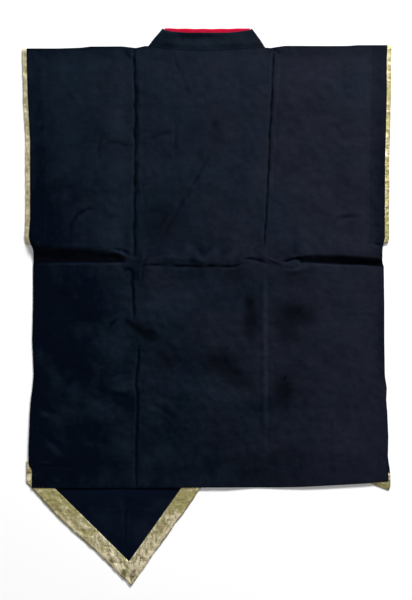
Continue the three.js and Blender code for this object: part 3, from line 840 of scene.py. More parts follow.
class Bench:
    """A material being made, with one Principled shader."""

    MIX_COLOURS = (6, 7)
    MIX_RESULT = 2

    def __init__(self, name: str, settings: dict[str, object]) -> None:
        """Starts a material.

        Args:
            name: name of the material.
            settings: even values for the shader's own sockets.
        """
        self.material = bpy.data.materials.new(name)
        self.material.use_nodes = True
        self.tree = self.material.node_tree
        self.shader = self.tree.nodes["Principled BSDF"]
        for socket, value in settings.items():
            self.shader.inputs[socket].default_value = value

    def node(self, kind: str, settings: dict[str, object], inputs: dict[str | int, object]) -> bpy.types.Node:
        """Adds a node.

        Args:
            kind: the node's type.
            settings: its own properties, set first.
            inputs: a value, or the Value or socket that feeds it, for each input socket.

        Returns:
            The node.
        """
        node = self.tree.nodes.new(kind)
        for key, value in settings.items():
            setattr(node, key, value)
        for key, value in inputs.items():
            self.link(node.inputs[key], value)
        return node

    def link(self, target: Socket, value: object) -> None:
        """Feeds a socket.

        Args:
            target: the socket.
            value: a Value, another socket or a plain value.
        """
        source = value.socket if isinstance(value, Value) else value
        if isinstance(source, Socket):
            self.tree.links.new(source, target)
        else:
            target.default_value = source

    def value(self, kind: str, settings: dict[str, object], inputs: dict[str | int, object]) -> Value:
        """The first output of a node that is added with these."""
        return Value(self, self.node(kind, settings, inputs).outputs[0])

    def split(self, vector: Socket) -> tuple[Value, ...]:
        """The three numbers of a vector."""
        parts = self.node("ShaderNodeSeparateXYZ", {}, {0: vector})
        return tuple(Value(self, parts.outputs[i]) for i in range(3))

    def place(self) -> tuple[Value, ...]:
        """The coat's own coordinates in metres."""
        return self.split(self.coordinates())

    def coordinates(self) -> Socket:
        """The coat's own coordinates as one vector."""
        return self.node("ShaderNodeTexCoord", {}, {}).outputs["Object"]

    def noise(self, scale: float, detail: float = 3.0, stretch: Triple = (1, 1, 1)) -> Value:
        """Noise on the coat's own coordinates.

        Args:
            scale: how many swells there are to a metre.
            detail: how many finer layers it has.
            stretch: multiplies the coordinates.

        Returns:
            A value from 0 to 1.
        """
        inputs = {0: self.coordinates(), 1: stretch}
        sized = self.node("ShaderNodeVectorMath", {"operation": "MULTIPLY"}, inputs)
        inputs = {"Vector": sized.outputs[0], "Scale": scale, "Detail": detail, "Roughness": 0.55}
        return self.value("ShaderNodeTexNoise", {}, inputs)

    def unevenness(self, rows: Rows) -> Value:
        """The sum of (noise - 0.5) * share over rows of scale, detail and share."""
        return sum((self.noise(scale, detail) - 0.5) * share for scale, detail, share in rows)

    def uv(self) -> tuple[Value, ...]:
        """Metres along and across the cloth."""
        return self.split(self.node("ShaderNodeUVMap", {"uv_map": "cloth"}, {}).outputs[0])[:2]

    def attribute(self, name: str) -> Value:
        """A number kept on the mesh, or zero where it has none."""
        return Value(self, self.node("ShaderNodeAttribute", {"attribute_name": name}, {}).outputs["Fac"])

    def mix(self, share: Value | float, low: object, high: object,
            blend: str = "MIX") -> Socket:
        """Blends two colours, each a colour or the socket that gives it.

        Args:
            share: how much of the second one there is, from 0 to 1.
            low: the first one.
            high: the second one.
            blend: how the second one is laid on the first.

        Returns:
            The socket of the result.
        """
        node = self.node("ShaderNodeMix", {"data_type": "RGBA", "blend_type": blend}, {0: share})
        for socket, colour in zip(self.MIX_COLOURS, (low, high)):
            made = isinstance(colour, Socket)
            self.link(node.inputs[socket], colour if made else (*colour, 1.0))
        return node.outputs[self.MIX_RESULT]

    def bump(self, height: Value, distance: float, strength: float = 1.0,
             under: Socket | None = None) -> Socket:
        """Raises the surface in its shading alone.

        Args:
            height: height at each place, in shares of the distance.
            distance: metres.
            strength: how strongly it turns the surface.
            under: another bump's normal, on which this one is laid.

        Returns:
            The socket of the new normal.
        """
        node = self.node("ShaderNodeBump", {}, {"Height": height, "Distance": distance, "Strength": strength})
        if under is not None:
            self.link(node.inputs["Normal"], under)
        return node.outputs["Normal"]

    def weave(self, pitch: float) -> Value:
        """Plain weave: the product of one sine along the warp and one along the weft."""
        (u, v), turn = self.uv(), 2 * math.pi / pitch
        return (u * turn).math("SINE") * (v * turn).math("SINE")


@dataclass(frozen=True)
class CottonFinish:
    """Plain-weave cotton with soft crumple. Its colour is painted lighter towards one side, a
    painted light falloff.

    The colour goes from deep to faded with middle + fade . (x, y), in metres on the coat, where
    fade is the painted light falloff, and with soft clouds, grain, streaks and the mesh's wear
    and painted shading. It is tinted from cool at the left to warm at the right, and painted
    shade lies over it. Clouds, grain and tint patches are rows of scale, detail and share.
    Streaks have a scale across the coat. Folds are bumps, so many times crumple (metres) high.
    """

    name: str
    deep: Colour
    faded: Colour
    middle: float = 0.45
    fade: Point = (0.0, 0.0)
    pitch: float = 0.0009
    crumple: float = 0.0005
    clouds: Rows = ((5.0, 3.0, 0.45), (26.0, 3.0, 0.70))
    grain: Rows = ((85.0, 3.0, 0.60), (900.0, 2.0, 0.14))
    streak_scale: float = 75.0
    streak_stretch: Triple = (1.0, 0.25, 1.0)
    streak_share: float = 0.3
    palest: float = 1.2
    cool: Colour = (0.68, 1.04, 1.10)
    warm: Colour = (1.09, 0.98, 1.02)
    warmer: float = 2.2
    warm_patches: Rows = ((9.0, 2.0, 2.4),)
    warm_middle: float = 0.55
    painted_shade: Colour = (0.0004, 0.0008, 0.0020)
    painted_shade_grain: float = 1.2
    smoothest: float = 0.77
    rougher: float = 0.16
    soft_folds: float = 5.0
    small_folds: float = 1.9
    small_streaks: float = 1.2
    thread: float = 0.00006

    def colour(self, bench: Bench, grain: Value, streaks: Value) -> Socket:
        """The dye with its painted light falloff and tint, and the painted shade over it.

        Args:
            bench: the material.
            grain: fine unevenness about zero.
            streaks: upright unevenness about zero.

        Returns:
            The socket of the colour.
        """
        x, y, _ = bench.place()
        # fade . (x, y) is a painted light falloff; the mesh adds wear and painted shading
        tone = x * self.fade[0] + y * self.fade[1] + bench.unevenness(self.clouds) + grain
        tone = tone + streaks * self.streak_share + bench.attribute("wear_and_painted_shading") + self.middle
        dyed = bench.mix(tone.clip(0.0, self.palest), self.deep, self.faded)
        warmth = (x * self.warmer + bench.unevenness(self.warm_patches) + self.warm_middle).clip(0.0, 1.0)
        tinted = bench.mix(1.0, dyed, bench.mix(warmth, self.cool, self.warm), "MULTIPLY")
        # Painted shade from the mesh, mixed towards its own dark colour
        painted_shade = (bench.attribute("painted_shade") * (grain * self.painted_shade_grain + 1.0)).clip(0.0, 1.0)
        return bench.mix(painted_shade, tinted, self.painted_shade)

    def make(self) -> bpy.types.Material:
        """Builds the material.

        Returns:
            The material.
        """
        bench = Bench(self.name, {"Specular IOR Level": 0.025, "Sheen Weight": 0.01, "Sheen Roughness": 0.5})
        streaks = bench.noise(self.streak_scale, 3.0, self.streak_stretch) - 0.5
        colour = self.colour(bench, bench.unevenness(self.grain), streaks)
        bench.link(bench.shader.inputs["Base Color"], colour)
        bench.link(bench.shader.inputs["Roughness"], bench.noise(30.0, 4.0) * self.rougher + self.smoothest)
        soft = bench.bump(bench.noise(34.0, 4.0), self.crumple * self.soft_folds, 0.8)
        creased = bench.noise(110.0, 4.0) + streaks * self.small_streaks
        small = bench.bump(creased, self.crumple * self.small_folds, 0.8, soft)
        threads = bench.bump(bench.weave(self.pitch), self.thread, 0.7, small)
        bench.link(bench.shader.inputs["Normal"], threads)
        return bench.material


@dataclass(frozen=True)
class GoldFinish:
    """Metallic gold cloth: yellow where it lies smooth, silvery with brown lines where it is
    crushed, which is more so near the point; the silver there is a painted highlight. From the
    mesh, ridges turn silver as wear, some spots as painted highlights, and hollows turn browner
    as painted shade.

    Each range gives where a noise or sum starts to count and where it counts in full, and each
    share how much it then adds. The brown ticks lie across the coat.
    """

    name: str = "gold cloth"
    yellow: Colour = (0.44, 0.39, 0.165)
    silver: Colour = (0.88, 0.785, 0.535)
    brown: Colour = (0.15, 0.11, 0.05)
    tip: Point = (-0.136, -0.495)
    crushed: float = 0.19
    silver_range: Span = (0.50, 0.66)
    tip_silver: float = 0.13
    ridge_and_highlight_silver: float = 0.08
    line_width: float = 0.035
    line_patches: Span = (0.42, 0.6)
    line_share: float = 0.4
    tip_lines: float = 0.35
    speck_range: Span = (0.58, 0.68)
    speck_share: float = 0.35
    tick_range: Span = (0.56, 0.64)
    tick_share: float = 0.4
    hollow_and_blotch_brown: float = 0.42
    smoothest: float = 0.24
    rougher: float = 0.3

    def near_tip(self, bench: Bench) -> Value:
        """One near the point, falling to zero at the distance that is called crushed.

        Args:
            bench: the material.

        Returns:
            The value.
        """
        x, y, _ = bench.place()
        across = (x - self.tip[0]).math("POWER", 2.0)
        up = (y - self.tip[1]).math("POWER", 2.0)
        return (across + up).math("SQRT").clip(self.crushed, self.crushed * 0.3)

    def make(self) -> bpy.types.Material:
        """Builds the material.

        Returns:
            The material.
        """
        bench = Bench(self.name, {"Metallic": 0.7, "Specular IOR Level": 0.5})
        patches, crush, fine = bench.noise(22.0, 3.0), bench.noise(95.0, 4.0), bench.noise(420.0, 3.0)
        near_tip, wear_and_painted_shading = self.near_tip(bench), bench.attribute("wear_and_painted_shading")
        # Silver near the point and at the mesh's marked spots is a painted highlight; on ridges, wear
        shine = patches * 0.5 + crush * 0.5 + near_tip * self.tip_silver + wear_and_painted_shading * self.ridge_and_highlight_silver
        cloth = bench.mix(shine.clip(*self.silver_range), self.yellow, self.silver)
        lines = (crush - 0.5).math("ABSOLUTE").clip(self.line_width, 0.0)
        lines = lines * (patches.clip(*self.line_patches) * self.line_share + near_tip * self.tip_lines)
        specks = fine.clip(*self.speck_range) * self.speck_share
        ticks = bench.noise(240.0, 2.0, (0.25, 1.0, 1.0)).clip(*self.tick_range) * self.tick_share
        # Browner in the mesh's hollows as painted shade, and at its brown blotches
        cracks = (lines + specks + ticks - wear_and_painted_shading * self.hollow_and_blotch_brown).clip(0.0, 1.0)
        bench.link(bench.shader.inputs["Base Color"], bench.mix(cracks, cloth, self.brown))
        bench.link(bench.shader.inputs["Roughness"], fine * self.rougher + self.smoothest)
        crinkle = bench.bump(crush, 0.0030, 0.8)
        small = bench.bump(fine, 0.0006, 0.7, crinkle)
        bench.link(bench.shader.inputs["Normal"], bench.bump(bench.weave(0.0012), 0.00008, 0.8, small))
        return bench.material


class Wardrobe:
    """Makes each finish once and puts it on pieces."""

    FINISHES = {
        # The fade of the back, inner and thread cotton is a painted light falloff, lighter to the upper right
        Finish.BACK: CottonFinish("back cotton", (0.0002, 0.0016, 0.0051), (0.0098, 0.0130, 0.0212),
                                  middle=0.58, fade=(1.10, 0.76)),
        Finish.INSIDE: CottonFinish("inner cotton", (0.0010, 0.0026, 0.0075), (0.0060, 0.0085, 0.0160),
                                    fade=(1.0, 0.3)),
        Finish.COLLAR: CottonFinish("collar cotton", (0.0012, 0.0030, 0.0065), (0.0088, 0.0124, 0.0198),
                                    middle=0.8),
        Finish.RED: CottonFinish("red cotton", (0.42, 0.002, 0.020), (0.62, 0.012, 0.045), crumple=0.0004),
        Finish.GOLD: GoldFinish(),
        Finish.THREAD: CottonFinish("sewing thread", (0.0020, 0.0050, 0.0120), (0.0190, 0.0235, 0.0340),
                                    middle=0.58, fade=(1.10, 0.76), pitch=0.0004),
        Finish.GOLD_THREAD: CottonFinish("gold thread", (0.20, 0.17, 0.08), (0.50, 0.45, 0.30), pitch=0.0004),
    }

    def __init__(self) -> None:
        """Builds all the finishes."""
        self.materials = {finish: cloth.make() for finish, cloth in self.FINISHES.items()}

    def dress(self, piece: Piece, finish: Finish, slot: str) -> None:
        """Puts a finish on a piece and logs its faces and finish.

        Args:
            piece: the piece.
            finish: its finish.
            slot: not used.
        """
        piece.data.materials.append(self.materials[finish])
        LOG.info("%s: %d faces, %s", piece.name, len(piece.data.polygons), finish.value)


@dataclass(frozen=True)
class BackPanel:
    """The back, from the shoulders to the hem, with its creases, turned edges and seams.

    Distances are from the nearest side, hem or shoulder. Close columns and rows are stretches of
    the grid, as middle, half width and step. The dark bands at the shoulders and sides are given as
    strength and width, and strip_dark as the strengths over the left and right armhole strips.
    """

    flat: Point = (0.65, 0.80)
    layers: Layers = Layers()
    left: float = -318.0
    right: float = 320.0
    low: float = -325.0
    high: float = 470.0
    step: float = 3.0
    close_columns: Rows = ((-318, 2.0, 0.8), (-290, 3.5, 0.9), (-307, 2.5, 1.5), (320, 2.0, 0.8),
                           (291, 3.5, 0.9), (-128, 9.0, 1.2), (110, 13.0, 1.4))
    close_rows: Rows = ((-325, 2.0, 0.8), (-291, 3.5, 0.9), (470, 2.0, 0.8), (86, 26.0, 1.8))
    puff: float = 2.2
    wide: Crumple = Crumple(3, 0.8, 26.0, 130.0)
    small: Crumple = Crumple(11, 0.25, 8.0, 26.0, 60)
    worn_at: Point = (-90.0, -130.0)
    worn_size: Point = (190.0, 150.0)
    worn_more: float = 1.1
    side_rise: float = 75.0
    end_rise: float = 70.0
    side_press: Span = (-7.0, 9.0)
    end_press: Span = (-4.0, 10.0)
    press_more: float = 1.25
    least_air: float = 0.15
    air_corner: float = 0.35
    arm_start: Span = (-6.0, 2.0)
    turned: float = 0.4
    hem_turned: float = 0.18
    arm_turn: float = 31.0
    hem_turn: float = 36.0
    turn_edge: Span = (-0.5, 1.6)
    stitched: float = 1.8
    dent_width: float = 1.3
    dent: float = 0.25
    hem_dent: float = 0.5
    side_seam: float = 11.0
    seam_slope: Span = (-1.2, 1.2)
    seam_drop: float = 0.3
    slit_turn: float = 15.0
    stand_height: float = 1.1
    arm_stitches_top: float = 466.0
    slit: Span = (-318.0, -150.0)
    hem_span: Span = (-312.0, 322.0)
    arm_thread: float = 0.12
    slit_thread: float = 0.08
    hem_thread: float = 0.02
    collar_ends: Span = (98.0, 104.0)
    sewn: float = 3.0
    rounding: float = 0.45
    round_width: float = 1.6
    shade_more: float = 1.3
    shoulder_start: Span = (98.0, 106.0)
    shoulder_dark: Point = (0.4, 4.0)
    side_dark: Point = (0.5, 2.2)
    strip_dark: Point = (0.04, 0.32)
    strip_edge: Span = (26.0, 31.0)
    # Ridges paler as wear, and grooves darker as a painted shade
    ridge_pale: float = 0.18
    groove_dark: float = 0.72
    # Painted shade: how strong the dark ovals are, and how dark deep creases are painted
    painted_shade_more: float = 1.35
    painted_crease_shade: float = 0.8
    deep: Span = (0.7, 1.0)

    def from_side(self, x: Array, y: Array) -> Array:
        """Distance from the nearer side."""
        return np.minimum(x - LEFT_SIDE(y), RIGHT_SIDE(y) - x)

    def turned_edges(self, x: Array, y: Array) -> Array:
        """Doubled cloth along the armholes and the hem, with a dent along each line of stitches,
        and the side seam's drop below the armholes.

        Args:
            x, y: places.

        Returns:
            Height over plain cloth.
        """
        side = self.from_side(x, y)
        arm = ease(y - self.layers.arm_end(x), *self.arm_start)
        hem = y - HEM_LINE(x)
        inside_arm = arm * (1.0 - ease(side - self.arm_turn, *self.turn_edge))
        inside_hem = 1.0 - ease(hem - self.hem_turn, *self.turn_edge)
        dents = arm * bell(side - self.arm_turn + self.stitched, self.dent_width)
        dents += self.hem_dent * bell(hem - self.hem_turn + self.stitched, self.dent_width)
        seam = (1.0 - arm) * (ease(side - self.side_seam, *self.seam_slope) - 1.0)
        doubled = np.maximum(self.turned * inside_arm, self.hem_turned * inside_hem)
        return doubled - self.dent * dents + self.seam_drop * seam

    def pressed(self, x: Array, y: Array) -> Array:
        """All folds and creases together."""
        return self.press_more * summed(BACK_CREASES, x, y) + summed(BACK_FOLDS, x, y)

    def relief(self, x: Array, y: Array) -> Array:
        """Air under the cloth with its folds, creases and crumple, never under least_air.

        The puff rises from the edges over side_rise and end_rise. The small crumple is stronger in
        an oval where the cloth is more worn.

        Args:
            x, y: places.

        Returns:
            Height over what the back lies on.
        """
        aside, up = x - self.worn_at[0], y - self.worn_at[1]
        worn = 1.0 + self.worn_more * bell(aside, self.worn_size[0]) * bell(up, self.worn_size[1])
        soft = self.puff + self.wide(x, y) + worn * self.small(x, y)
        end = np.minimum(TOP_LINE(x) - y, y - HEM_LINE(x))
        side = self.from_side(x, y)
        air = ease(side, 0.0, self.side_rise) * ease(end, 0.0, self.end_rise) * soft
        air = air + ease(side, *self.side_press) * ease(end, *self.end_press) * self.pressed(x, y)
        return self.least_air + above_zero(air, self.air_corner) - self.air_corner / 2

    def wear_and_painted_shading(self, x: Array, y: Array, stand: Array) -> Array:
        """Paler ridges as wear and painted shade in grooves, with darker bands beside the collar,
        along the sides and over the armhole strips, on top of the back's painted highlights,
        painted shades and tone.

        Args:
            x, y: places.
            stand: how far each place stands over its surroundings, from -1 to 1.

        Returns:
            Wear at each place.
        """
        side = self.from_side(x, y)
        strength, width = self.shoulder_dark
        edges = -strength * ease(np.abs(x), *self.shoulder_start) * bell(TOP_LINE(x) - y, width)
        edges = edges - self.side_dark[0] * bell(side, self.side_dark[1])
        strip = ease(y - self.layers.right_arm_end, *self.arm_start) * (1.0 - ease(side, *self.strip_edge))
        edges = edges - np.where(x < 0, *self.strip_dark) * strip
        shades = self.shade_more * summed(BACK_SHADES, x, y)
        return self.ridge_pale * stand + self.groove_dark * np.minimum(stand, 0.0) + shades + edges

    def painted_shade(self, x: Array, y: Array, stand: Array) -> Array:
        """Painted shade in soft dents where the cloth is pinched, inside folds and in deep creases.

        Args:
            x, y: places.
            stand: how far each place stands over its surroundings, from -1 to 1.

        Returns:
            Painted shade at each place.
        """
        ovals = self.painted_shade_more * summed(BACK_PAINTED_SHADE, x, y)
        folds = sum(fold.shade(x, y) for fold in BACK_FOLDS)
        return ovals + folds + self.painted_crease_shade * ease(-stand, *self.deep)

    def underside(self, x: Array, y: Array) -> Array:
        """Underside of the cloth."""
        return self.layers.under_back(x, y) + self.relief(x, y)

    def top(self, x: Array, y: Array) -> Array:
        """Upper face: the underside, one cloth up, with turned edges and a rounded border.

        The border is a quarter circle, 1 - sqrt(1 - (1 - d)^2) deep at d widths inside the edge.
        It isn't rounded where the collar is sewn on.

        Args:
            x, y: places.

        Returns:
            Height at each place.
        """
        shoulder = TOP_LINE(x) - y + self.sewn * (1.0 - ease(np.abs(x), *self.collar_ends))
        border = np.minimum(self.from_side(x, y), np.minimum(shoulder, y - HEM_LINE(x)))
        inside = np.clip(border / self.round_width, 0, 1)
        rounding = self.rounding * (1.0 - np.sqrt(1.0 - (1.0 - inside) ** 2))
        return self.underside(x, y) + CLOTH + self.turned_edges(x, y) - rounding

    def grid(self) -> tuple[Array, Array]:
        """Places in plan: y runs from the hem to the shoulders, then x from side to side.

        Returns:
            X and Y, rows by columns.
        """
        columns = stations(self.left, self.right, self.step, self.close_columns)
        rows = stations(self.low, self.high, self.step, self.close_rows)
        across = (columns - self.left) / (self.right - self.left)
        up = (rows - self.low) / (self.high - self.low)
        x, _ = np.meshgrid(columns, rows)
        y = HEM_LINE(x) + (TOP_LINE(x) - HEM_LINE(x)) * up[:, None]
        x = LEFT_SIDE(y) + (RIGHT_SIDE(y) - LEFT_SIDE(y)) * across[None, :]
        return x, y

    def build(self) -> Piece:
        """Builds the cloth in place of its CAD panel.

        Returns:
            The piece.
        """
        x, y = self.grid()
        upper = stack(x, y, self.top(x, y))
        lower = stack(x, y, self.underside(x, y))
        stand = np.tanh(cavity(self.pressed(x, y)) / self.stand_height)
        wear_and_painted_shading, painted_shade = self.wear_and_painted_shading(x, y, stand), self.painted_shade(x, y, stand)
        piece = put_wall("back_cloth", upper, lower, np.stack((x, y), axis=-1) * MM, wear_and_painted_shading, painted_shade)
        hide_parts("back_panel")
        return piece

    def dress(self, piece: Piece, wardrobe: Wardrobe) -> None:
        """Cotton on the back, which lies on the fronts."""
        wardrobe.dress(piece, Finish.BACK, "cotton")

    def seam_lines(self) -> list[Array]:
        """Stitch lines that show: down each armhole and up each side's slit.

        Returns:
            The lines, a place in each row.
        """
        lines = []
        arms = ((LEFT_SIDE, self.layers.left_arm_end, 1), (RIGHT_SIDE, self.layers.right_arm_end, -1))
        for edge, end, inward in arms:
            y = np.linspace(end + 2, self.arm_stitches_top, 240)
            x = edge(y) + inward * (self.arm_turn - self.stitched)
            lines.append(stack(x, y, self.top(x, y) + self.arm_thread))
        for edge, _, inward in arms:
            y = np.linspace(*self.slit, 90)
            x = edge(y) + inward * self.slit_turn
            lines.append(stack(x, y, self.top(x, y) + self.slit_thread))
        return lines

    def hem_line(self) -> Array:
        """The hem's stitch line, which hardly shows.

        Returns:
            The line, a place in each row.
        """
        x = np.linspace(*self.hem_span, 400)
        y = HEM_LINE(x) + self.hem_turn - self.stitched
        return stack(x, y, self.top(x, y) + self.hem_thread)


@dataclass(frozen=True)
class FrontPanels:
    """The two fronts: the left one flat down to its long point, the right one lying on it.

    Tip gap keeps the point's two corners apart. Free_inside is a distance from the trim's outer
    edge, and free_below, under_back and side_turn are distances down from the coat's middle.
    """

    left_flat: Point = (0.52, 0.97)
    left_area: float = 0.302
    right_flat: Point = (0.54, 0.80)
    right_area: float = 0.262
    layers: Layers = Layers()
    tuck: float = 1.0
    left_top: float = 464.5
    left_low: float = -293.0
    side_rows: int = 40
    tip_gap: Point = (0.5, 0.7)
    fine: float = 0.0105
    close: Rows = ((0, 0.01, 0.004), (1, 0.01, 0.004))
    right_top: float = 469.5
    side_turn: Span = (250.0, 310.0)
    puff: float = 1.4
    soft: Crumple = Crumple(23, 0.35, 18.0, 90.0)
    floor_corner: float = 0.2
    free_inside: Span = (TRIM_WIDTH + 1.0, TRIM_WIDTH + 22.0)
    free_below: Span = (318.0, 345.0)
    under_back: Span = (330.0, 347.0)
    # Painted shadow of the back's hem on the point; ridges paler as wear, grooves darker as painted shade
    painted_hem_shadow: float = 0.75
    ridge_pale: float = 0.6
    stand_height: float = 0.6
    point_creases: tuple[Crease, ...] = (
        Crease("fold down the point", ((-146, -322), (-147, -400), (-145, -480)), -1.2, 2.4),
        Crease("its lit edge", ((-152, -330), (-153, -400)), 0.4, 4.0),
        Crease("line across the point", ((-280, -366), (-200, -364), (-60, -367)), 0.22, 3.0),
    )
    point_shades: tuple[Shade, ...] = (
        Shade((-130, -352), (22, 22), -0.6),
        Shade((-118, -405), (16, 22), 0.55),
        Shade((-240, -350), (40, 12), -0.35),
        Shade((-190, -390), (26, 18), 0.3),
        Shade((-80, -358), (26, 12), 0.25),
        Shade((-150, -440), (14, 20), -0.3),
    )

    def left_plan(self) -> Array:
        """Places of the left front in plan.

        Rows run from the shoulder to the point, and columns from the side or short hem to the
        collar seam or long hem, on straight lines between the two.

        Returns:
            Rows by columns by two.
        """
        slit = Cut((LEFT_CORNER[0] + 1, 1), (LEFT_CORNER[0] + 1, 0))
        short_hem, long_hem = LEFT_SHORT_HEM.inset(TRIM_SHOWS), LEFT_LONG_HEM.inset(TRIM_SHOWS)
        heights = np.linspace(self.left_top, self.left_low, self.side_rows)
        side = [(LEFT_SIDE(h) + self.tuck, h) for h in heights[:-1]] + [tuple(slit.meet(short_hem))]
        neck, end, tip = LEFT_SEAM.meet(SHOULDER), long_hem.meet(LEFT_SEAM), short_hem.meet(long_hem)
        t = np.concatenate((np.linspace(0, 1, 55), np.linspace(1, 2, 131)[1:]))
        along_hem = chain([side[-1], tip + np.multiply(self.tip_gap, (-1, 1))], t - 1)
        outer = np.where((t <= 1)[:, None], chain(side, t * (self.side_rows - 1)), along_hem)
        inner = chain([neck, end, tip + self.tip_gap], t)
        across = stations(0, 1, self.fine, self.close)
        return outer[:, None] + (inner - outer)[:, None] * across[None, :, None]

    def build_left(self) -> Piece:
        """The left front, flat on the surface, with some air where it shows past the back.

        Returns:
            The piece.
        """
        plan = self.left_plan()
        x, y = plan[..., 0], plan[..., 1]
        inside = np.minimum(LEFT_SHORT_HEM.depth(x, y), LEFT_LONG_HEM.depth(x, y))
        free = ease(inside, *self.free_inside) * ease(-y, *self.free_below)
        lift = free * (self.puff + self.soft(x, y) + summed(self.point_creases, x, y))
        floor = above_zero(lift, self.floor_corner)
        stand = np.tanh(cavity(floor + CLOTH) / self.stand_height)
        # Ridges paler as wear, grooves darker as painted shade, and a painted shadow under the back's hem
        wear_and_painted_shading = self.ridge_pale * stand + summed(self.point_shades, x, y)
        wear_and_painted_shading = wear_and_painted_shading - self.painted_hem_shadow * (1.0 - ease(-y, *self.under_back))
        piece = put_laid("left_front_cloth", x, y, floor, CLOTH, wear_and_painted_shading)
        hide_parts("front_left_panel")
        return piece

    def right_rows(self, down: Array, across: Array) -> Array:
        """Places of the right front in plan, on straight lines from the collar seam to the side.

        Args:
            down: the way down, 0 at the shoulder, 1 at the trim's upper edge and 2 at the hem.
            across: the way from the collar seam to the side, from 0 to 1.

        Returns:
            Rows by columns by two.
        """
        slit = Cut((RIGHT_CORNER[0] - 1, 1), (RIGHT_CORNER[0] - 1, 0))
        inner_hem, edge = RIGHT_HEM.inset(TRIM_WIDTH), RIGHT_HEM.inset(TRIM_SHOWS)
        seam_points = [RIGHT_SEAM.meet(SHOULDER), inner_hem.meet(RIGHT_SEAM), edge.meet(RIGHT_SEAM)]
        inner = chain(seam_points, down)
        side_low, side_edge = inner_hem.meet(slit), edge.meet(slit)
        y = np.interp(down, (0, 1, 2), (self.right_top, side_low[1], side_edge[1]))
        seam = RIGHT_SIDE(y) - self.tuck
        x = seam + (side_low[0] - seam) * ease(-y, *self.side_turn)
        outer = np.stack((x, y), axis=-1)
        return inner[:, None] + (outer - inner)[:, None] * across[None, :, None]

    def build_right(self) -> Piece:
        """The right front: rows from the shoulder to the hem, columns from the seam to the side.

        Returns:
            The piece.
        """
        down = np.concatenate((np.linspace(0, 1, 71), np.linspace(1, 2, 7)[1:]))
        plan = self.right_rows(down, np.linspace(0, 1, 61))
        x, y = plan[..., 0], plan[..., 1]
        floor = self.layers.under_right_front(x, y)
        piece = put_laid("right_front_cloth", x, y, floor, CLOTH, np.zeros(floor.shape))
        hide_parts("front_right_panel")
        return piece

    def dress(self, left: Piece, right: Piece, wardrobe: Wardrobe) -> None:
        """Cotton with its inner side up on both fronts, which lie on the surface and on each other.

        Args:
            left: the left front.
            right: the right front.
            wardrobe: the finishes.
        """
        wardrobe.dress(left, Finish.INSIDE, "cotton")
        wardrobe.dress(right, Finish.INSIDE, "cotton")


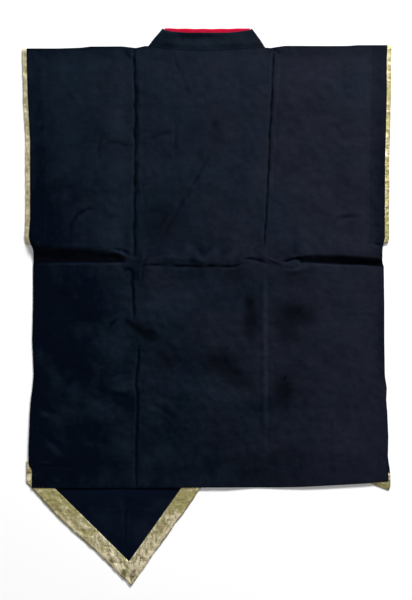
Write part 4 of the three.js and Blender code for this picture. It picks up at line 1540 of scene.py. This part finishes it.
@dataclass(frozen=True)
class Collar:
    """The collar's folded strip: up one front, behind the neck and down the other.

    In its methods t runs along the strip and w across it, from 0 at the seam to 1 at the free
    edge. Rest is how high it lies at its folds, sag how far it sinks between them.
    """

    flat: Point = (0.037, 1.34)
    layers: Layers = Layers()
    rest: float = 3.6
    sag: float = 1.0
    lap: float = 0.8
    seam_edge: float = 0.12
    seam_press: float = 15.0
    seam_reach: float = 16.0
    clear: float = 0.05
    free_round: float = 2.2
    free_edge: float = 0.35
    fold_share: float = 0.93
    close: Rows = ((0, 0.12, 0.03), (1, 0.05, 0.03))
    fine: float = 0.07
    front_rows: int = 150
    turn_rows: int = 11
    neck_rows: int = 83
    puff: float = 0.5
    soft: Crumple = Crumple(41, 0.45, 10.0, 60.0)
    ridge_pale: float = 0.2
    stand_height: float = 0.6
    lining_flat: Point = (0.037, 0.197)
    lining_top: float = 501.5
    lining_sag: float = 0.9
    lining_foot: float = 3.0
    waver: float = 0.25
    wavers: float = 31.0
    lining_rise: float = 0.6
    rise_at: Span = (492.0, 500.0)
    from_fold: float = 4.0
    # Painted light falloff, darker at the left and paler at the right, and darker strips below the top edge
    shades: tuple[Shade, ...] = (
        Shade((-20, 489), (34, 7), -0.85),
        Shade((-75, 484), (30, 14), -0.45),
        Shade((-70, 470), (26, 5), -0.2),
        Shade((52, 478), (34, 9), 0.1),
        Shade((20, 487), (22, 5), -0.4),
    )

    def half(self, w: Array) -> Array:
        """Half the band's thickness: pressed thin towards the seam, a quarter circle at the free
        edge.

        Args:
            w: stations across the strip.

        Returns:
            Half the thickness at each.
        """
        seam = self.seam_edge + (1.0 - self.seam_edge) * ease(w * COLLAR_WIDTH, 0.0, self.seam_press)
        to_free = np.clip((1.0 - w) * COLLAR_WIDTH / self.free_round, 0.0, 1.0)
        round_edge = self.free_edge + (1.0 - self.free_edge) * np.sqrt(1.0 - (1.0 - to_free) ** 2)
        return BAND / 2 * np.minimum(seam, round_edge)

    def floor(self, x: Array) -> Array:
        """Underside behind the neck: it sinks between the folds by sag * sin^2(pi t)."""
        t = np.clip((x - LEFT_FOLD_SEAM[0]) / (RIGHT_FOLD_SEAM[0] - LEFT_FOLD_SEAM[0]), 0.0, 1.0)
        return self.rest - self.sag * np.sin(math.pi * t) ** 2

    def over_seam(self, x: Array, y: Array) -> Array:
        """How far the seam edge is raised to lie on the neck edge of the back, eased to nothing
        over seam_reach.

        Args:
            x, y: places.

        Returns:
            The rise at each place.
        """
        neck = TOP_LINE(x)
        rise = self.layers.under_back(x, neck) + CLOTH + self.clear - self.floor(x)
        return rise * (1.0 - ease(y - neck, 0.5, self.seam_reach))

    def front(self, ends: tuple[Point, Point], fold: Cut, neck: Point, w: Array,
              floor: Height) -> tuple[Array, Array]:
        """The strip up a front, straight along its seam. Its free edge is straight to the neck and
        goes from there to the fold's free end.

        Args:
            ends: its lower end, at the seam and at the free edge.
            fold: the fold at its upper end, from its seam to its free end.
            neck: where the free edge meets the neck.
            w: stations across it.
            floor: the height of what it lies on.

        Returns:
            Middle places from its lower end to its fold, and their outer directions.
        """
        t = np.linspace(0, 1, self.front_rows)
        seam = chain([ends[0], fold.start], t)
        free = chain([ends[1], neck], np.minimum(t / self.fold_share, 1.0))
        last = np.maximum(0.0, (t - self.fold_share) / (1.0 - self.fold_share))[:, None]
        free = free + (np.array(fold.end) - free) * last
        plan = seam[:, None] + (free - seam)[:, None] * w[None, :, None]
        z = floor(plan[..., 0], plan[..., 1]) + self.half(w)
        places = stack(plan[..., 0], plan[..., 1], z)
        return places, np.broadcast_to(-UP, places.shape)

    def turn(self, fold: Cut, side: int, w: Array) -> tuple[Array, Array]:
        """The half turn at a fold, on a half circle from the front strip up to the back one.

        Args:
            fold: the fold, from its seam to its free end.
            side: the side that it turns to, -1 at the left and 1 at the right.
            w: stations across the strip.

        Returns:
            Middle places and their outer directions.
        """
        along = fold.along
        angle = np.linspace(-0.5, 0.5, self.turn_rows + 2)[1:-1] * math.pi
        level, rise = np.cos(angle), np.sin(angle)
        out = np.stack((side * along[1] * level, -side * along[0] * level, rise), axis=-1)
        base = chain([fold.start, fold.end], w)
        centre = stack(base[:, 0], base[:, 1], self.half(w) + self.rest / 2)
        outer = np.broadcast_to(out[:, None], (len(angle), len(w), 3))
        return centre[None] + outer * self.rest / 2, outer

    def behind(self, w: Array) -> tuple[Array, Array]:
        """The strip behind the neck, a little puffed, with soft creases across it.

        Args:
            w: stations across it.

        Returns:
            Middle places from the left fold to the right one, and their outer directions.
        """
        t = np.linspace(0, 1, self.neck_rows)
        from_fold = np.minimum(t, 1 - t)
        x = LEFT_FOLD_SEAM[0] + (RIGHT_FOLD_SEAM[0] - LEFT_FOLD_SEAM[0]) * t
        top = LEFT_FOLD_FREE[0] + (RIGHT_FOLD_FREE[0] - LEFT_FOLD_FREE[0]) * t
        fold_y = np.where(t < 0.5, LEFT_FOLD_SEAM[1], RIGHT_FOLD_SEAM[1])
        seam_y = fold_y + (TOP_LINE(x) - self.lap - fold_y) * ease(from_fold, 0, 0.08)
        seam, free = np.stack((x, seam_y), axis=-1), np.stack((top, COLLAR_TOP(top)), axis=-1)
        plan = seam[:, None] + (free - seam)[:, None] * w[None, :, None]
        inside = ease(from_fold, 0.0, 0.1)[:, None] * ease(w, 0.05, 0.4)[None, :]
        z = self.floor(plan[..., 0]) + self.half(w)[None, :]
        z = z + inside * (self.puff + self.soft(plan[..., 0], plan[..., 1]))
        z = z + self.over_seam(plan[..., 0], plan[..., 1]) * ease(from_fold, 0, 0.04)[:, None]
        places = stack(plan[..., 0], plan[..., 1], z)
        return places, np.broadcast_to(UP, places.shape)

    def build(self) -> Piece:
        """The whole strip in one piece, thinned to rounded edges along both sides.

        Returns:
            The piece.
        """
        w = stations(0, 1, self.fine, self.close)
        left_fold, right_fold = Cut(LEFT_FOLD_SEAM, LEFT_FOLD_FREE), Cut(RIGHT_FOLD_SEAM, RIGHT_FOLD_FREE)
        left = self.front((LEFT_COLLAR_END, LEFT_LAP), left_fold, LEFT_NECK, w,
                          lambda x, y: np.zeros(x.shape))
        right = self.front((RIGHT_COLLAR_END, RIGHT_LAP), right_fold, RIGHT_NECK, w,
                           self.layers.under_right_front)
        parts = [left, self.turn(left_fold, -1, w), self.behind(w)]
        parts += [tuple(a[::-1] for a in part) for part in (self.turn(right_fold, 1, w), right)]
        middle, out = (np.concatenate([part[i] for part in parts]) for i in (0, 1))
        half = self.half(w)[None, :, None]
        upper, lower = middle + out * half, middle - out * half
        run = run_along(middle[:, len(w) // 2])
        uv = np.stack(np.broadcast_arrays(run[:, None], w[None, :] * COLLAR_WIDTH), axis=-1) * MM
        wear_and_painted_shading = summed(self.shades, upper[..., 0], upper[..., 1])
        # Ridges paler as wear, and grooves darker as painted shade
        wear_and_painted_shading = wear_and_painted_shading + self.ridge_pale * np.tanh(cavity(upper[..., 2], 2) / self.stand_height)
        piece = put_wall("collar_cloth", upper, lower, uv, wear_and_painted_shading)
        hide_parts("collar_band")
        return piece

    def build_lining(self) -> Piece:
        """The red strip under the collar behind the neck. Its upper edge sags by sin(pi t) and
        wavers a little.

        Returns:
            The piece.
        """
        t, w = np.linspace(0, 1, 71), np.linspace(0, 1, 15)
        low = LEFT_FOLD_SEAM[0] + self.from_fold
        low = low + (RIGHT_FOLD_SEAM[0] - self.from_fold - low) * t
        high = LEFT_FOLD_FREE[0] + self.from_fold / 2
        high = high + (RIGHT_FOLD_FREE[0] - self.from_fold / 2 - high) * t
        x = low[:, None] + (high - low)[:, None] * w[None, :]
        foot = TOP_LINE(low)[:, None] + self.lining_foot
        sag = self.lining_sag * np.sin(t * math.pi) - self.waver * np.sin(t * self.wavers)
        edge = self.lining_top - sag[:, None]
        y = foot + (edge - foot) * w[None, :]
        floor = self.floor(x) - STRIP + self.lining_rise * ease(y, *self.rise_at)
        piece = put_laid("lining_cloth", x, y, floor, RIBBON, np.zeros(x.shape))
        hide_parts("collar_lining")
        return piece

    def dress(self, piece: Piece, lining: Piece, wardrobe: Wardrobe) -> None:
        """Cotton on the collar and red cotton on its lining.

        Args:
            piece: the collar.
            lining: its lining.
            wardrobe: the finishes.
        """
        wardrobe.dress(piece, Finish.COLLAR, "cotton")
        wardrobe.dress(lining, Finish.RED, "red_cotton")


@dataclass(frozen=True)
class GoldStrips:
    """The crinkled gold strips behind the armholes' edges and along the two front hems.

    Stations across a strip are distances out from the armhole's edge, or in from a hem's outer
    edge. Along the left hem the way is 1 at the point, and its two runs are millimetres.
    """

    arm_flat: Point = (0.036, 0.705)
    left_hem_flat: Point = (0.029, 0.750)
    right_hem_flat: Point = (0.029, 0.545)
    layers: Layers = Layers()
    ripple: float = 0.35
    # The left armhole strip is painted paler, a painted highlight
    left_painted_highlight: float = 1.3
    shading_height: float = 0.25
    arm_across: tuple[float, ...] = (TRIM_SHOWS, 7.2, 6.0, 4.8, 3.5, 2.2, 1.0, 0.0, -2.0, -5.0, -9.0,
                                     -14.0, -18.0, -23.0, -28.0)
    arm_rows: int = 151
    shoulder_turns: tuple[float, ...] = (-0.25, 0.0, 0.25)
    arm_drop: Span = (-1.0, TRIM_SHOWS)
    ragged: tuple[Crumple, Crumple] = (Crumple(50, 0.45, 4.0, 30.0, 24), Crumple(52, 0.45, 4.0, 30.0, 24))
    ragged_across: Span = (3.0, 8.0)
    arm_seeds: tuple[int, int] = (60, 62)
    arm_stretch: float = 0.35
    arm_free: Span = (-1.0, 3.0)
    least_lift: float = -0.1
    hem_across: tuple[float, ...] = (0, 0.8, 2, 3.5, 5, 6.5, 8, 10, 12, 14, 16, 18, 20, 22, 24, 26, 27.5,
                                     28.5, 29.0)
    hem_middle: int = 8
    hem_runs: Point = (260.0, 540.0)
    hem_seed: int = 71
    hem_drop: float = 3.6
    wander: Crumple = Crumple(83, 0.8, 14.0, 60.0, 20)
    wander_inside: float = 7.0
    wander_below: Span = (322.0, 335.0)
    calm_at_point: float = 0.06
    bulge: float = 4.5
    bulge_at: float = 0.36
    bulge_width: float = 0.2
    bulge_inside: float = 24.0
    tip_crush: float = 2.6
    tip_reach: float = 90.0
    least_crush: float = 0.4
    mitre: float = 0.5
    mitre_width: float = 2.2
    hem_lift: float = 0.35
    free_below: Span = (322.0, 330.0)
    stitched: float = 25.0
    stitched_below: float = -320.0
    stitch_rise: float = 0.15
    right_across: tuple[float, ...] = (29.0, 25.0, 21.0, 17.0, 13.0, 10.0, 8.0, 6.8, 5.6, 4.5, 3.0, 1.5, 0.0)
    right_columns: int = 121
    right_drop: Span = (0.5, TRIM_SHOWS)
    # Round the point: painted highlights (over zero) and browner blotches (under zero)
    tip_shades: tuple[Shade, ...] = (
        Shade((-150, -479), (4, 11), -1.8),
        Shade((-146, -494), (3, 4), -1.2),
        Shade((-133, -484), (5, 12), -1.2, turn=-20),
        Shade((-141, -492), (4, 7), 1.6),
        Shade((-112, -463), (11, 5), 1.4, turn=50),
        Shade((-124, -474), (4, 8), 1.2),
        Shade((-162, -468), (8, 5), 1.2, turn=-40),
        Shade((-172, -455), (5, 8), -1.0),
        Shade((-96, -436), (5, 10), 1.2, turn=-30),
        Shade((-186, -448), (10, 5), 0.9, turn=-40),
        Shade((-80, -425), (8, 4), -0.8, turn=50),
        Shade((-321, -306), (5, 5), 1.4),
        Shade((-321, -297), (5, 4), -0.9),
    )

    def crinkle(self, run: Array, across: Array, seed: int) -> Array:
        """Little ripples across the strip, gathered by its stitching."""
        return Crumple(seed, self.ripple, 5.0, 26.0, 40, facets=True)(run, across)

    def put(self, name: str, middle: Array, out: Array, run: Array, across: Array,
            tone: Array | float = 0.0) -> Piece:
        """A closed strip about its middle places, with its map along and across it.

        Args:
            name: name of the piece.
            middle: middle places, rows along the strip by columns across it by three.
            out: the outer direction at each.
            run: how far along the strip each row is.
            across: how far across it each column is.
            tone: over zero is paler, a painted highlight, and under zero browner.

        Returns:
            The piece.
        """
        uv = np.stack(np.broadcast_arrays(run_along(run[:, None])[:, None], across[None, :]), axis=-1) * MM
        upper, lower = middle + out * RIBBON / 2, middle - out * RIBBON / 2
        # Ridges over zero turn silver as wear, hollows under zero browner as painted shade
        wear_and_painted_shading = np.tanh(cavity(upper[..., 2], 2) / self.shading_height) + tone
        return put_wall(name, upper, lower, uv, wear_and_painted_shading)

    def build_arm(self, side: int, end: float, top: float) -> Piece:
        """Up the front, round the shoulder and down the back, its outer part on the surface.

        Args:
            side: -1 on the left, 1 on the right.
            end: height up the coat of the strip's two ends.
            top: height where it turns over the shoulder.

        Returns:
            The piece.
        """
        edge, which = (LEFT_SIDE, 0) if side < 0 else (RIGHT_SIDE, 1)
        across, flat = np.array(self.arm_across), np.zeros(self.arm_rows)
        front, back = LAYER + RIBBON / 2, LAYER + STRIP + RIBBON / 2
        radius = (back - front) / 2
        heights = np.linspace(end, top, self.arm_rows)
        turn = np.array(self.shoulder_turns) * math.pi
        y = np.concatenate((heights, top + radius * np.cos(turn), heights[::-1]))
        z = np.concatenate((flat + front, front + radius * (1 + np.sin(turn)), flat + back))
        out_y = np.concatenate((flat, np.cos(turn), flat))
        out_z = np.concatenate((flat - 1.0, np.sin(turn), flat + 1.0))
        ragged = self.ragged[which](y, np.zeros(y.shape))
        past = across[None, :] + ragged[:, None] * ease(across, *self.ragged_across)[None, :]
        x = edge(y)[:, None] + side * past
        along = np.broadcast_to(y[:, None], x.shape)
        lift = self.crinkle(along, past * self.arm_stretch, self.arm_seeds[which]) * (out_z[:, None] > 0.5)
        raised = np.maximum(lift, self.least_lift) * ease(past, *self.arm_free)
        drop = LAYER * ease(across, *self.arm_drop)
        middle = stack(x, along, z[:, None] - drop[None, :] + raised)
        out = np.stack(np.broadcast_arrays(0.0 * x, out_y[:, None], out_z[:, None]), axis=-1)
        name, tone = ("arm_strip_left", self.left_painted_highlight) if side < 0 else ("arm_strip_right", 0.0)
        return self.put(name, middle, out, y, across, tone)

    def left_hem_plan(self, across: Array, t: Array) -> Array:
        """Straight lines along the short hem, mitred at the point, and up the long hem.

        Args:
            across: distances from the outer edge.
            t: the way along the hem, with 1 at the point.

        Returns:
            Rows along the hem by these distances by two.
        """
        side = Cut((LEFT_CORNER[0], 1), (LEFT_CORNER[0], 0))
        lines = []
        for distance in across:
            short_hem, long_hem = LEFT_SHORT_HEM.inset(distance), LEFT_LONG_HEM.inset(distance)
            corners = [short_hem.meet(side), short_hem.meet(long_hem), long_hem.meet(LEFT_SEAM)]
            lines.append(chain(corners, t))
        return np.stack(lines, axis=1)

    def left_hem(self, across: Array) -> Array:
        """Middle places along the left front's two hems.

        The outer edge wanders a little and bulges out on the short hem, and the ripples grow
        towards the point as 1 + tip_crush * exp(-(d / tip_reach)^2).

        Args:
            across: distances from the outer edge.

        Returns:
            Rows along the hem by these distances by three.
        """
        t = np.concatenate((np.linspace(0, 1, 151), np.linspace(1, 2, 271)[1:]))
        plan = self.left_hem_plan(across, t)
        x, y = plan[..., 0], plan[..., 1]
        run = np.interp(t, (0, 1, 2), (0, self.hem_runs[0], sum(self.hem_runs)))
        run = np.broadcast_to(run[:, None], x.shape)
        from_point = np.abs(t - 1.0)[:, None]
        wander = self.wander(run, np.zeros(x.shape)) * (1.0 - ease(across, 0.0, self.wander_inside))
        wander = wander * ease(-y, *self.wander_below) * ease(from_point, 0.0, self.calm_at_point)
        bulge = bell(t[:, None] - self.bulge_at, self.bulge_width)
        bulge = bulge * (1.0 - ease(across, 0.0, self.bulge_inside))
        inward = np.where(t[:, None, None] < 1, LEFT_SHORT_HEM.inward, LEFT_LONG_HEM.inward)
        plan = plan + inward * (wander - self.bulge * bulge)[..., None]
        from_tip = np.hypot(x - LEFT_POINT[0], y - LEFT_POINT[1])
        crush = 1.0 + self.tip_crush * bell(from_tip, self.tip_reach) - self.least_crush
        wave = crush * self.crinkle(run, np.broadcast_to(across, x.shape), self.hem_seed)
        wave = wave + self.hem_lift - self.mitre * bell(from_point * self.hem_runs[0], self.mitre_width)
        z = LAYER * ease(across, 0.0, self.hem_drop) + RIBBON / 2
        z = z + ease(-y, *self.free_below) * np.maximum(wave, 0.0)
        return stack(plan[..., 0], plan[..., 1], z)

    def build_left_hem(self) -> Piece:
        """The strip along the left front's two hems.

        Returns:
            The piece.
        """
        across = np.array(self.hem_across)
        middle = self.left_hem(across)
        run = run_along(middle[:, self.hem_middle, :2])
        out = np.broadcast_to(UP, middle.shape)
        tone = summed(self.tip_shades, middle[..., 0], middle[..., 1])
        piece = self.put("hem_strip_left", middle, out, run, across, tone)
        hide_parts("hem_trim_left")
        return piece

    def stitch_line(self) -> Array:
        """The line of stitches near the left hem strip's inner edge, as far as it shows."""
        line = self.left_hem(np.array((self.stitched,)))[:, 0]
        return line[line[:, 1] < self.stitched_below] + (0.0, 0.0, RIBBON / 2 + self.stitch_rise)

    def build_right_hem(self, fronts: FrontPanels) -> Piece:
        """Sewn on the right front's two last rows and turned down past its edge.

        Args:
            fronts: the fronts.

        Returns:
            The piece.
        """
        across = np.array(self.right_across)
        inner, edge = fronts.right_rows(np.array((1.0, 2.0)), np.linspace(0, 1, self.right_columns))
        share = np.minimum((TRIM_WIDTH - across) / (TRIM_WIDTH - TRIM_SHOWS), 1.0)[None, :, None]
        past = np.maximum(0.0, TRIM_SHOWS - across)[None, :, None]
        plan = inner[:, None] + (edge - inner)[:, None] * share - RIGHT_HEM.inward * past
        x, y = plan[..., 0], plan[..., 1]
        z = self.layers.under_right_front(x, y) + RIBBON / 2 + LAYER * ease(across, *self.right_drop)
        middle = stack(x, y, z)
        out = np.broadcast_to(UP, middle.shape)
        piece = self.put("hem_strip_right", middle, out, run_along(edge), across)
        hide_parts("hem_trim_right")
        return piece

    def dress(self, strips: dict[str, Piece], wardrobe: Wardrobe) -> None:
        """Gold cloth on every strip; the strips lie on or under the black cloth.

        Args:
            strips: the four strips by where they are.
            wardrobe: the finishes.
        """
        for where, piece in strips.items():
            wardrobe.dress(piece, Finish.GOLD, "gold_trim")


@dataclass(frozen=True)
class Stitching:
    """Rows of machine stitches, each a small capsule of thread laid on the cloth.

    The profile gives its rings, as shares of its length from the middle and of its radius.
    """

    pitch: float = 3.2
    length: float = 2.5
    radius: float = 0.28
    sides: int = 6
    profile: tuple[Point, ...] = ((-0.42, 0.75), (-0.2, 1.0), (0.2, 1.0), (0.42, 0.75))

    def walk(self, line: Array) -> tuple[Array, Array]:
        """Walks a line of places, a stitch to each pitch.

        Args:
            line: places, one row each.

        Returns:
            The stitches' middles and unit directions.
        """
        run = run_along(line)
        at = np.arange(self.pitch, run[-1] - self.pitch / 2, self.pitch)
        ends = [np.stack([np.interp(at + s * self.length / 2, run, line[:, i]) for i in range(3)], axis=-1)
                for s in (-1, 1)]
        step = ends[1] - ends[0]
        return (ends[0] + ends[1]) / 2, step / np.linalg.norm(step, axis=1, keepdims=True)

    def places(self, middle: Array, along: Array) -> Array:
        """Corners of every stitch: one tip, the rings and the other tip.

        Args:
            middle: middles of the stitches.
            along: their unit directions.

        Returns:
            Stitches by corners by three.
        """
        aside = np.cross(UP, along)
        aside /= np.linalg.norm(aside, axis=1, keepdims=True)
        rise = np.cross(along, aside)
        angle = np.arange(self.sides)[:, None] * 2 * math.pi / self.sides
        ring = np.cos(angle) * aside[:, None] + np.sin(angle) * rise[:, None]
        tip = along[:, None] * self.length / 2
        parts = [middle[:, None] - tip]
        for share, girth in self.profile:
            parts.append(middle[:, None] + along[:, None] * self.length * share + ring * self.radius * girth)
        return np.concatenate(parts + [middle[:, None] + tip], axis=1)

    def faces(self, count: int) -> list[list[int]]:
        """Faces of that many stitches: fans at the two tips and bands between the rings.

        Args:
            count: number of stitches.

        Returns:
            The corners of each face.
        """
        n, last = self.sides, 1 + self.sides * (len(self.profile) - 1)
        k = np.arange(n)
        following = (k + 1) % n
        tip, end = np.full(n, 0), np.full(n, last + n)
        blocks = [(tip, 1 + following, 1 + k), (end, last + k, last + following)]
        for first in range(1, last, n):
            blocks.append((first + k, first + following, first + n + following, first + n + k))
        start = np.arange(count)[:, None, None] * (last + n + 1)
        faces: list[list[int]] = []
        for block in blocks:
            faces += (np.stack(block, axis=1)[None] + start).reshape(-1, len(block)).tolist()
        return faces

    def build(self, name: str, lines: Sequence[Array]) -> Piece:
        """Joins all stitches of these lines in one mesh.

        Args:
            name: name of the piece.
            lines: lines of places.

        Returns:
            The piece.
        """
        walks = [self.walk(line) for line in lines]
        middle, along = (np.concatenate([walk[i] for walk in walks]) for i in (0, 1))
        flat = self.places(middle, along).reshape(-1, 3)
        return put_mesh(name, flat, self.faces(len(middle)), flat[:, :2] * MM, np.zeros(len(flat)))


@dataclass(frozen=True)
class Lamp:
    """A rectangular area light that faces the coat's middle, in watts and metres."""

    name: str
    power: float
    size: Point
    place: Triple

    def build(self) -> None:
        """Adds the light."""
        lamp = bpy.data.lights.new(self.name, "AREA")
        lamp.shape = "RECTANGLE"
        lamp.size, lamp.size_y = self.size
        lamp.energy = self.power
        item = bpy.data.objects.new(self.name, lamp)
        item.location = self.place
        item.rotation_euler = (-Vector(self.place)).to_track_quat("-Z", "Y").to_euler()
        bpy.context.scene.collection.objects.link(item)


@dataclass(frozen=True)
class Studio:
    """Pale floor, soft lights and a camera that looks straight down, in metres."""

    field: float = 1.080
    height: float = 2.4
    lens: float = 80.0
    aim: Point = (-0.00185, 0.01305)
    floor_size: float = 3.0
    floor_level: float = -0.0002
    floor_colour: tuple[float, float, float, float] = (0.93, 0.93, 0.93, 1)
    room: float = 0.12
    lamps: tuple[Lamp, ...] = (
        Lamp("key from the collar side", 1150.0, (4.4, 1.5), (2.6, 6.2, 3.3)),
        Lamp("soft top light", 27.0, (2.6, 2.6), (0.0, 0.0, 3.2)),
    )

    def build_floor(self) -> Piece:
        """A flat square just under the coat.

        Returns:
            The floor.
        """
        half = self.floor_size / 2
        corners = [(x * half, y * half, self.floor_level) for x, y in ((-1, -1), (1, -1), (1, 1), (-1, 1))]
        mesh = bpy.data.meshes.new("stage_floor")
        mesh.from_pydata(corners, [], [(0, 1, 2, 3)])
        floor = bpy.data.objects.new("stage_floor", mesh)
        bpy.context.scene.collection.objects.link(floor)
        settings = {"Roughness": 0.9, "Specular IOR Level": 0.1, "Base Color": self.floor_colour}
        mesh.materials.append(Bench("pale floor", settings).material)
        LOG.info("%s: %.1f m wide", floor.name, self.floor_size)
        return floor

    def build_lights(self) -> None:
        """A broad low key from beyond the collar, a soft top light and a pale room."""
        for lamp in self.lamps:
            lamp.build()
        world = bpy.data.worlds.new("pale room")
        world.use_nodes = True
        world.node_tree.nodes["Background"].inputs["Color"].default_value = (1, 1, 1, 1)
        world.node_tree.nodes["Background"].inputs["Strength"].default_value = self.room
        bpy.context.scene.world = world

    def build_camera(self) -> None:
        """A long lens over the coat: sensor height = lens * field / height, which frames the field."""
        data = bpy.data.cameras.new("camera")
        data.sensor_fit = "VERTICAL"
        data.sensor_height = self.lens * self.field / self.height
        data.lens = self.lens
        camera = bpy.data.objects.new("camera", data)
        camera.location = (*self.aim, self.height)
        bpy.context.scene.collection.objects.link(camera)
        bpy.context.scene.camera = camera
        bpy.context.scene.view_settings.view_transform = "Standard"


def main() -> None:
    """Builds the studio, then the coat, piece by piece."""
    logging.basicConfig(level=logging.INFO, format="%(name)s: %(message)s")
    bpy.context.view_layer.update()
    wardrobe = Wardrobe()
    back, fronts, collar, gold = BackPanel(), FrontPanels(), Collar(), GoldStrips()
    studio = Studio()
    studio.build_camera()
    studio.build_floor()
    studio.build_lights()
    back_piece = back.build()
    left, right = fronts.build_left(), fronts.build_right()
    band, lining = collar.build(), collar.build_lining()
    strips = {
        "left_arm": gold.build_arm(-1, back.layers.left_arm_end, 464.0),
        "right_arm": gold.build_arm(1, back.layers.right_arm_end, 469.5),
        "left_hem": gold.build_left_hem(),
        "right_hem": gold.build_right_hem(fronts),
    }
    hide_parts("armhole_trim_left")
    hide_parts("armhole_trim_right")
    fronts.dress(left, right, wardrobe)
    back.dress(back_piece, wardrobe)
    collar.dress(band, lining, wardrobe)
    gold.dress(strips, wardrobe)
    stitches = Stitching().build("back_stitches", back.seam_lines())
    wardrobe.dress(stitches, Finish.THREAD, "cotton")
    back_hem = Stitching().build("back_hem_stitches", [back.hem_line()])
    wardrobe.dress(back_hem, Finish.BACK, "cotton")
    hem_stitches = Stitching(radius=0.35).build("hem_stitches", [gold.stitch_line()])
    wardrobe.dress(hem_stitches, Finish.GOLD_THREAD, "gold_trim")


if __name__ == "__main__":
    main()
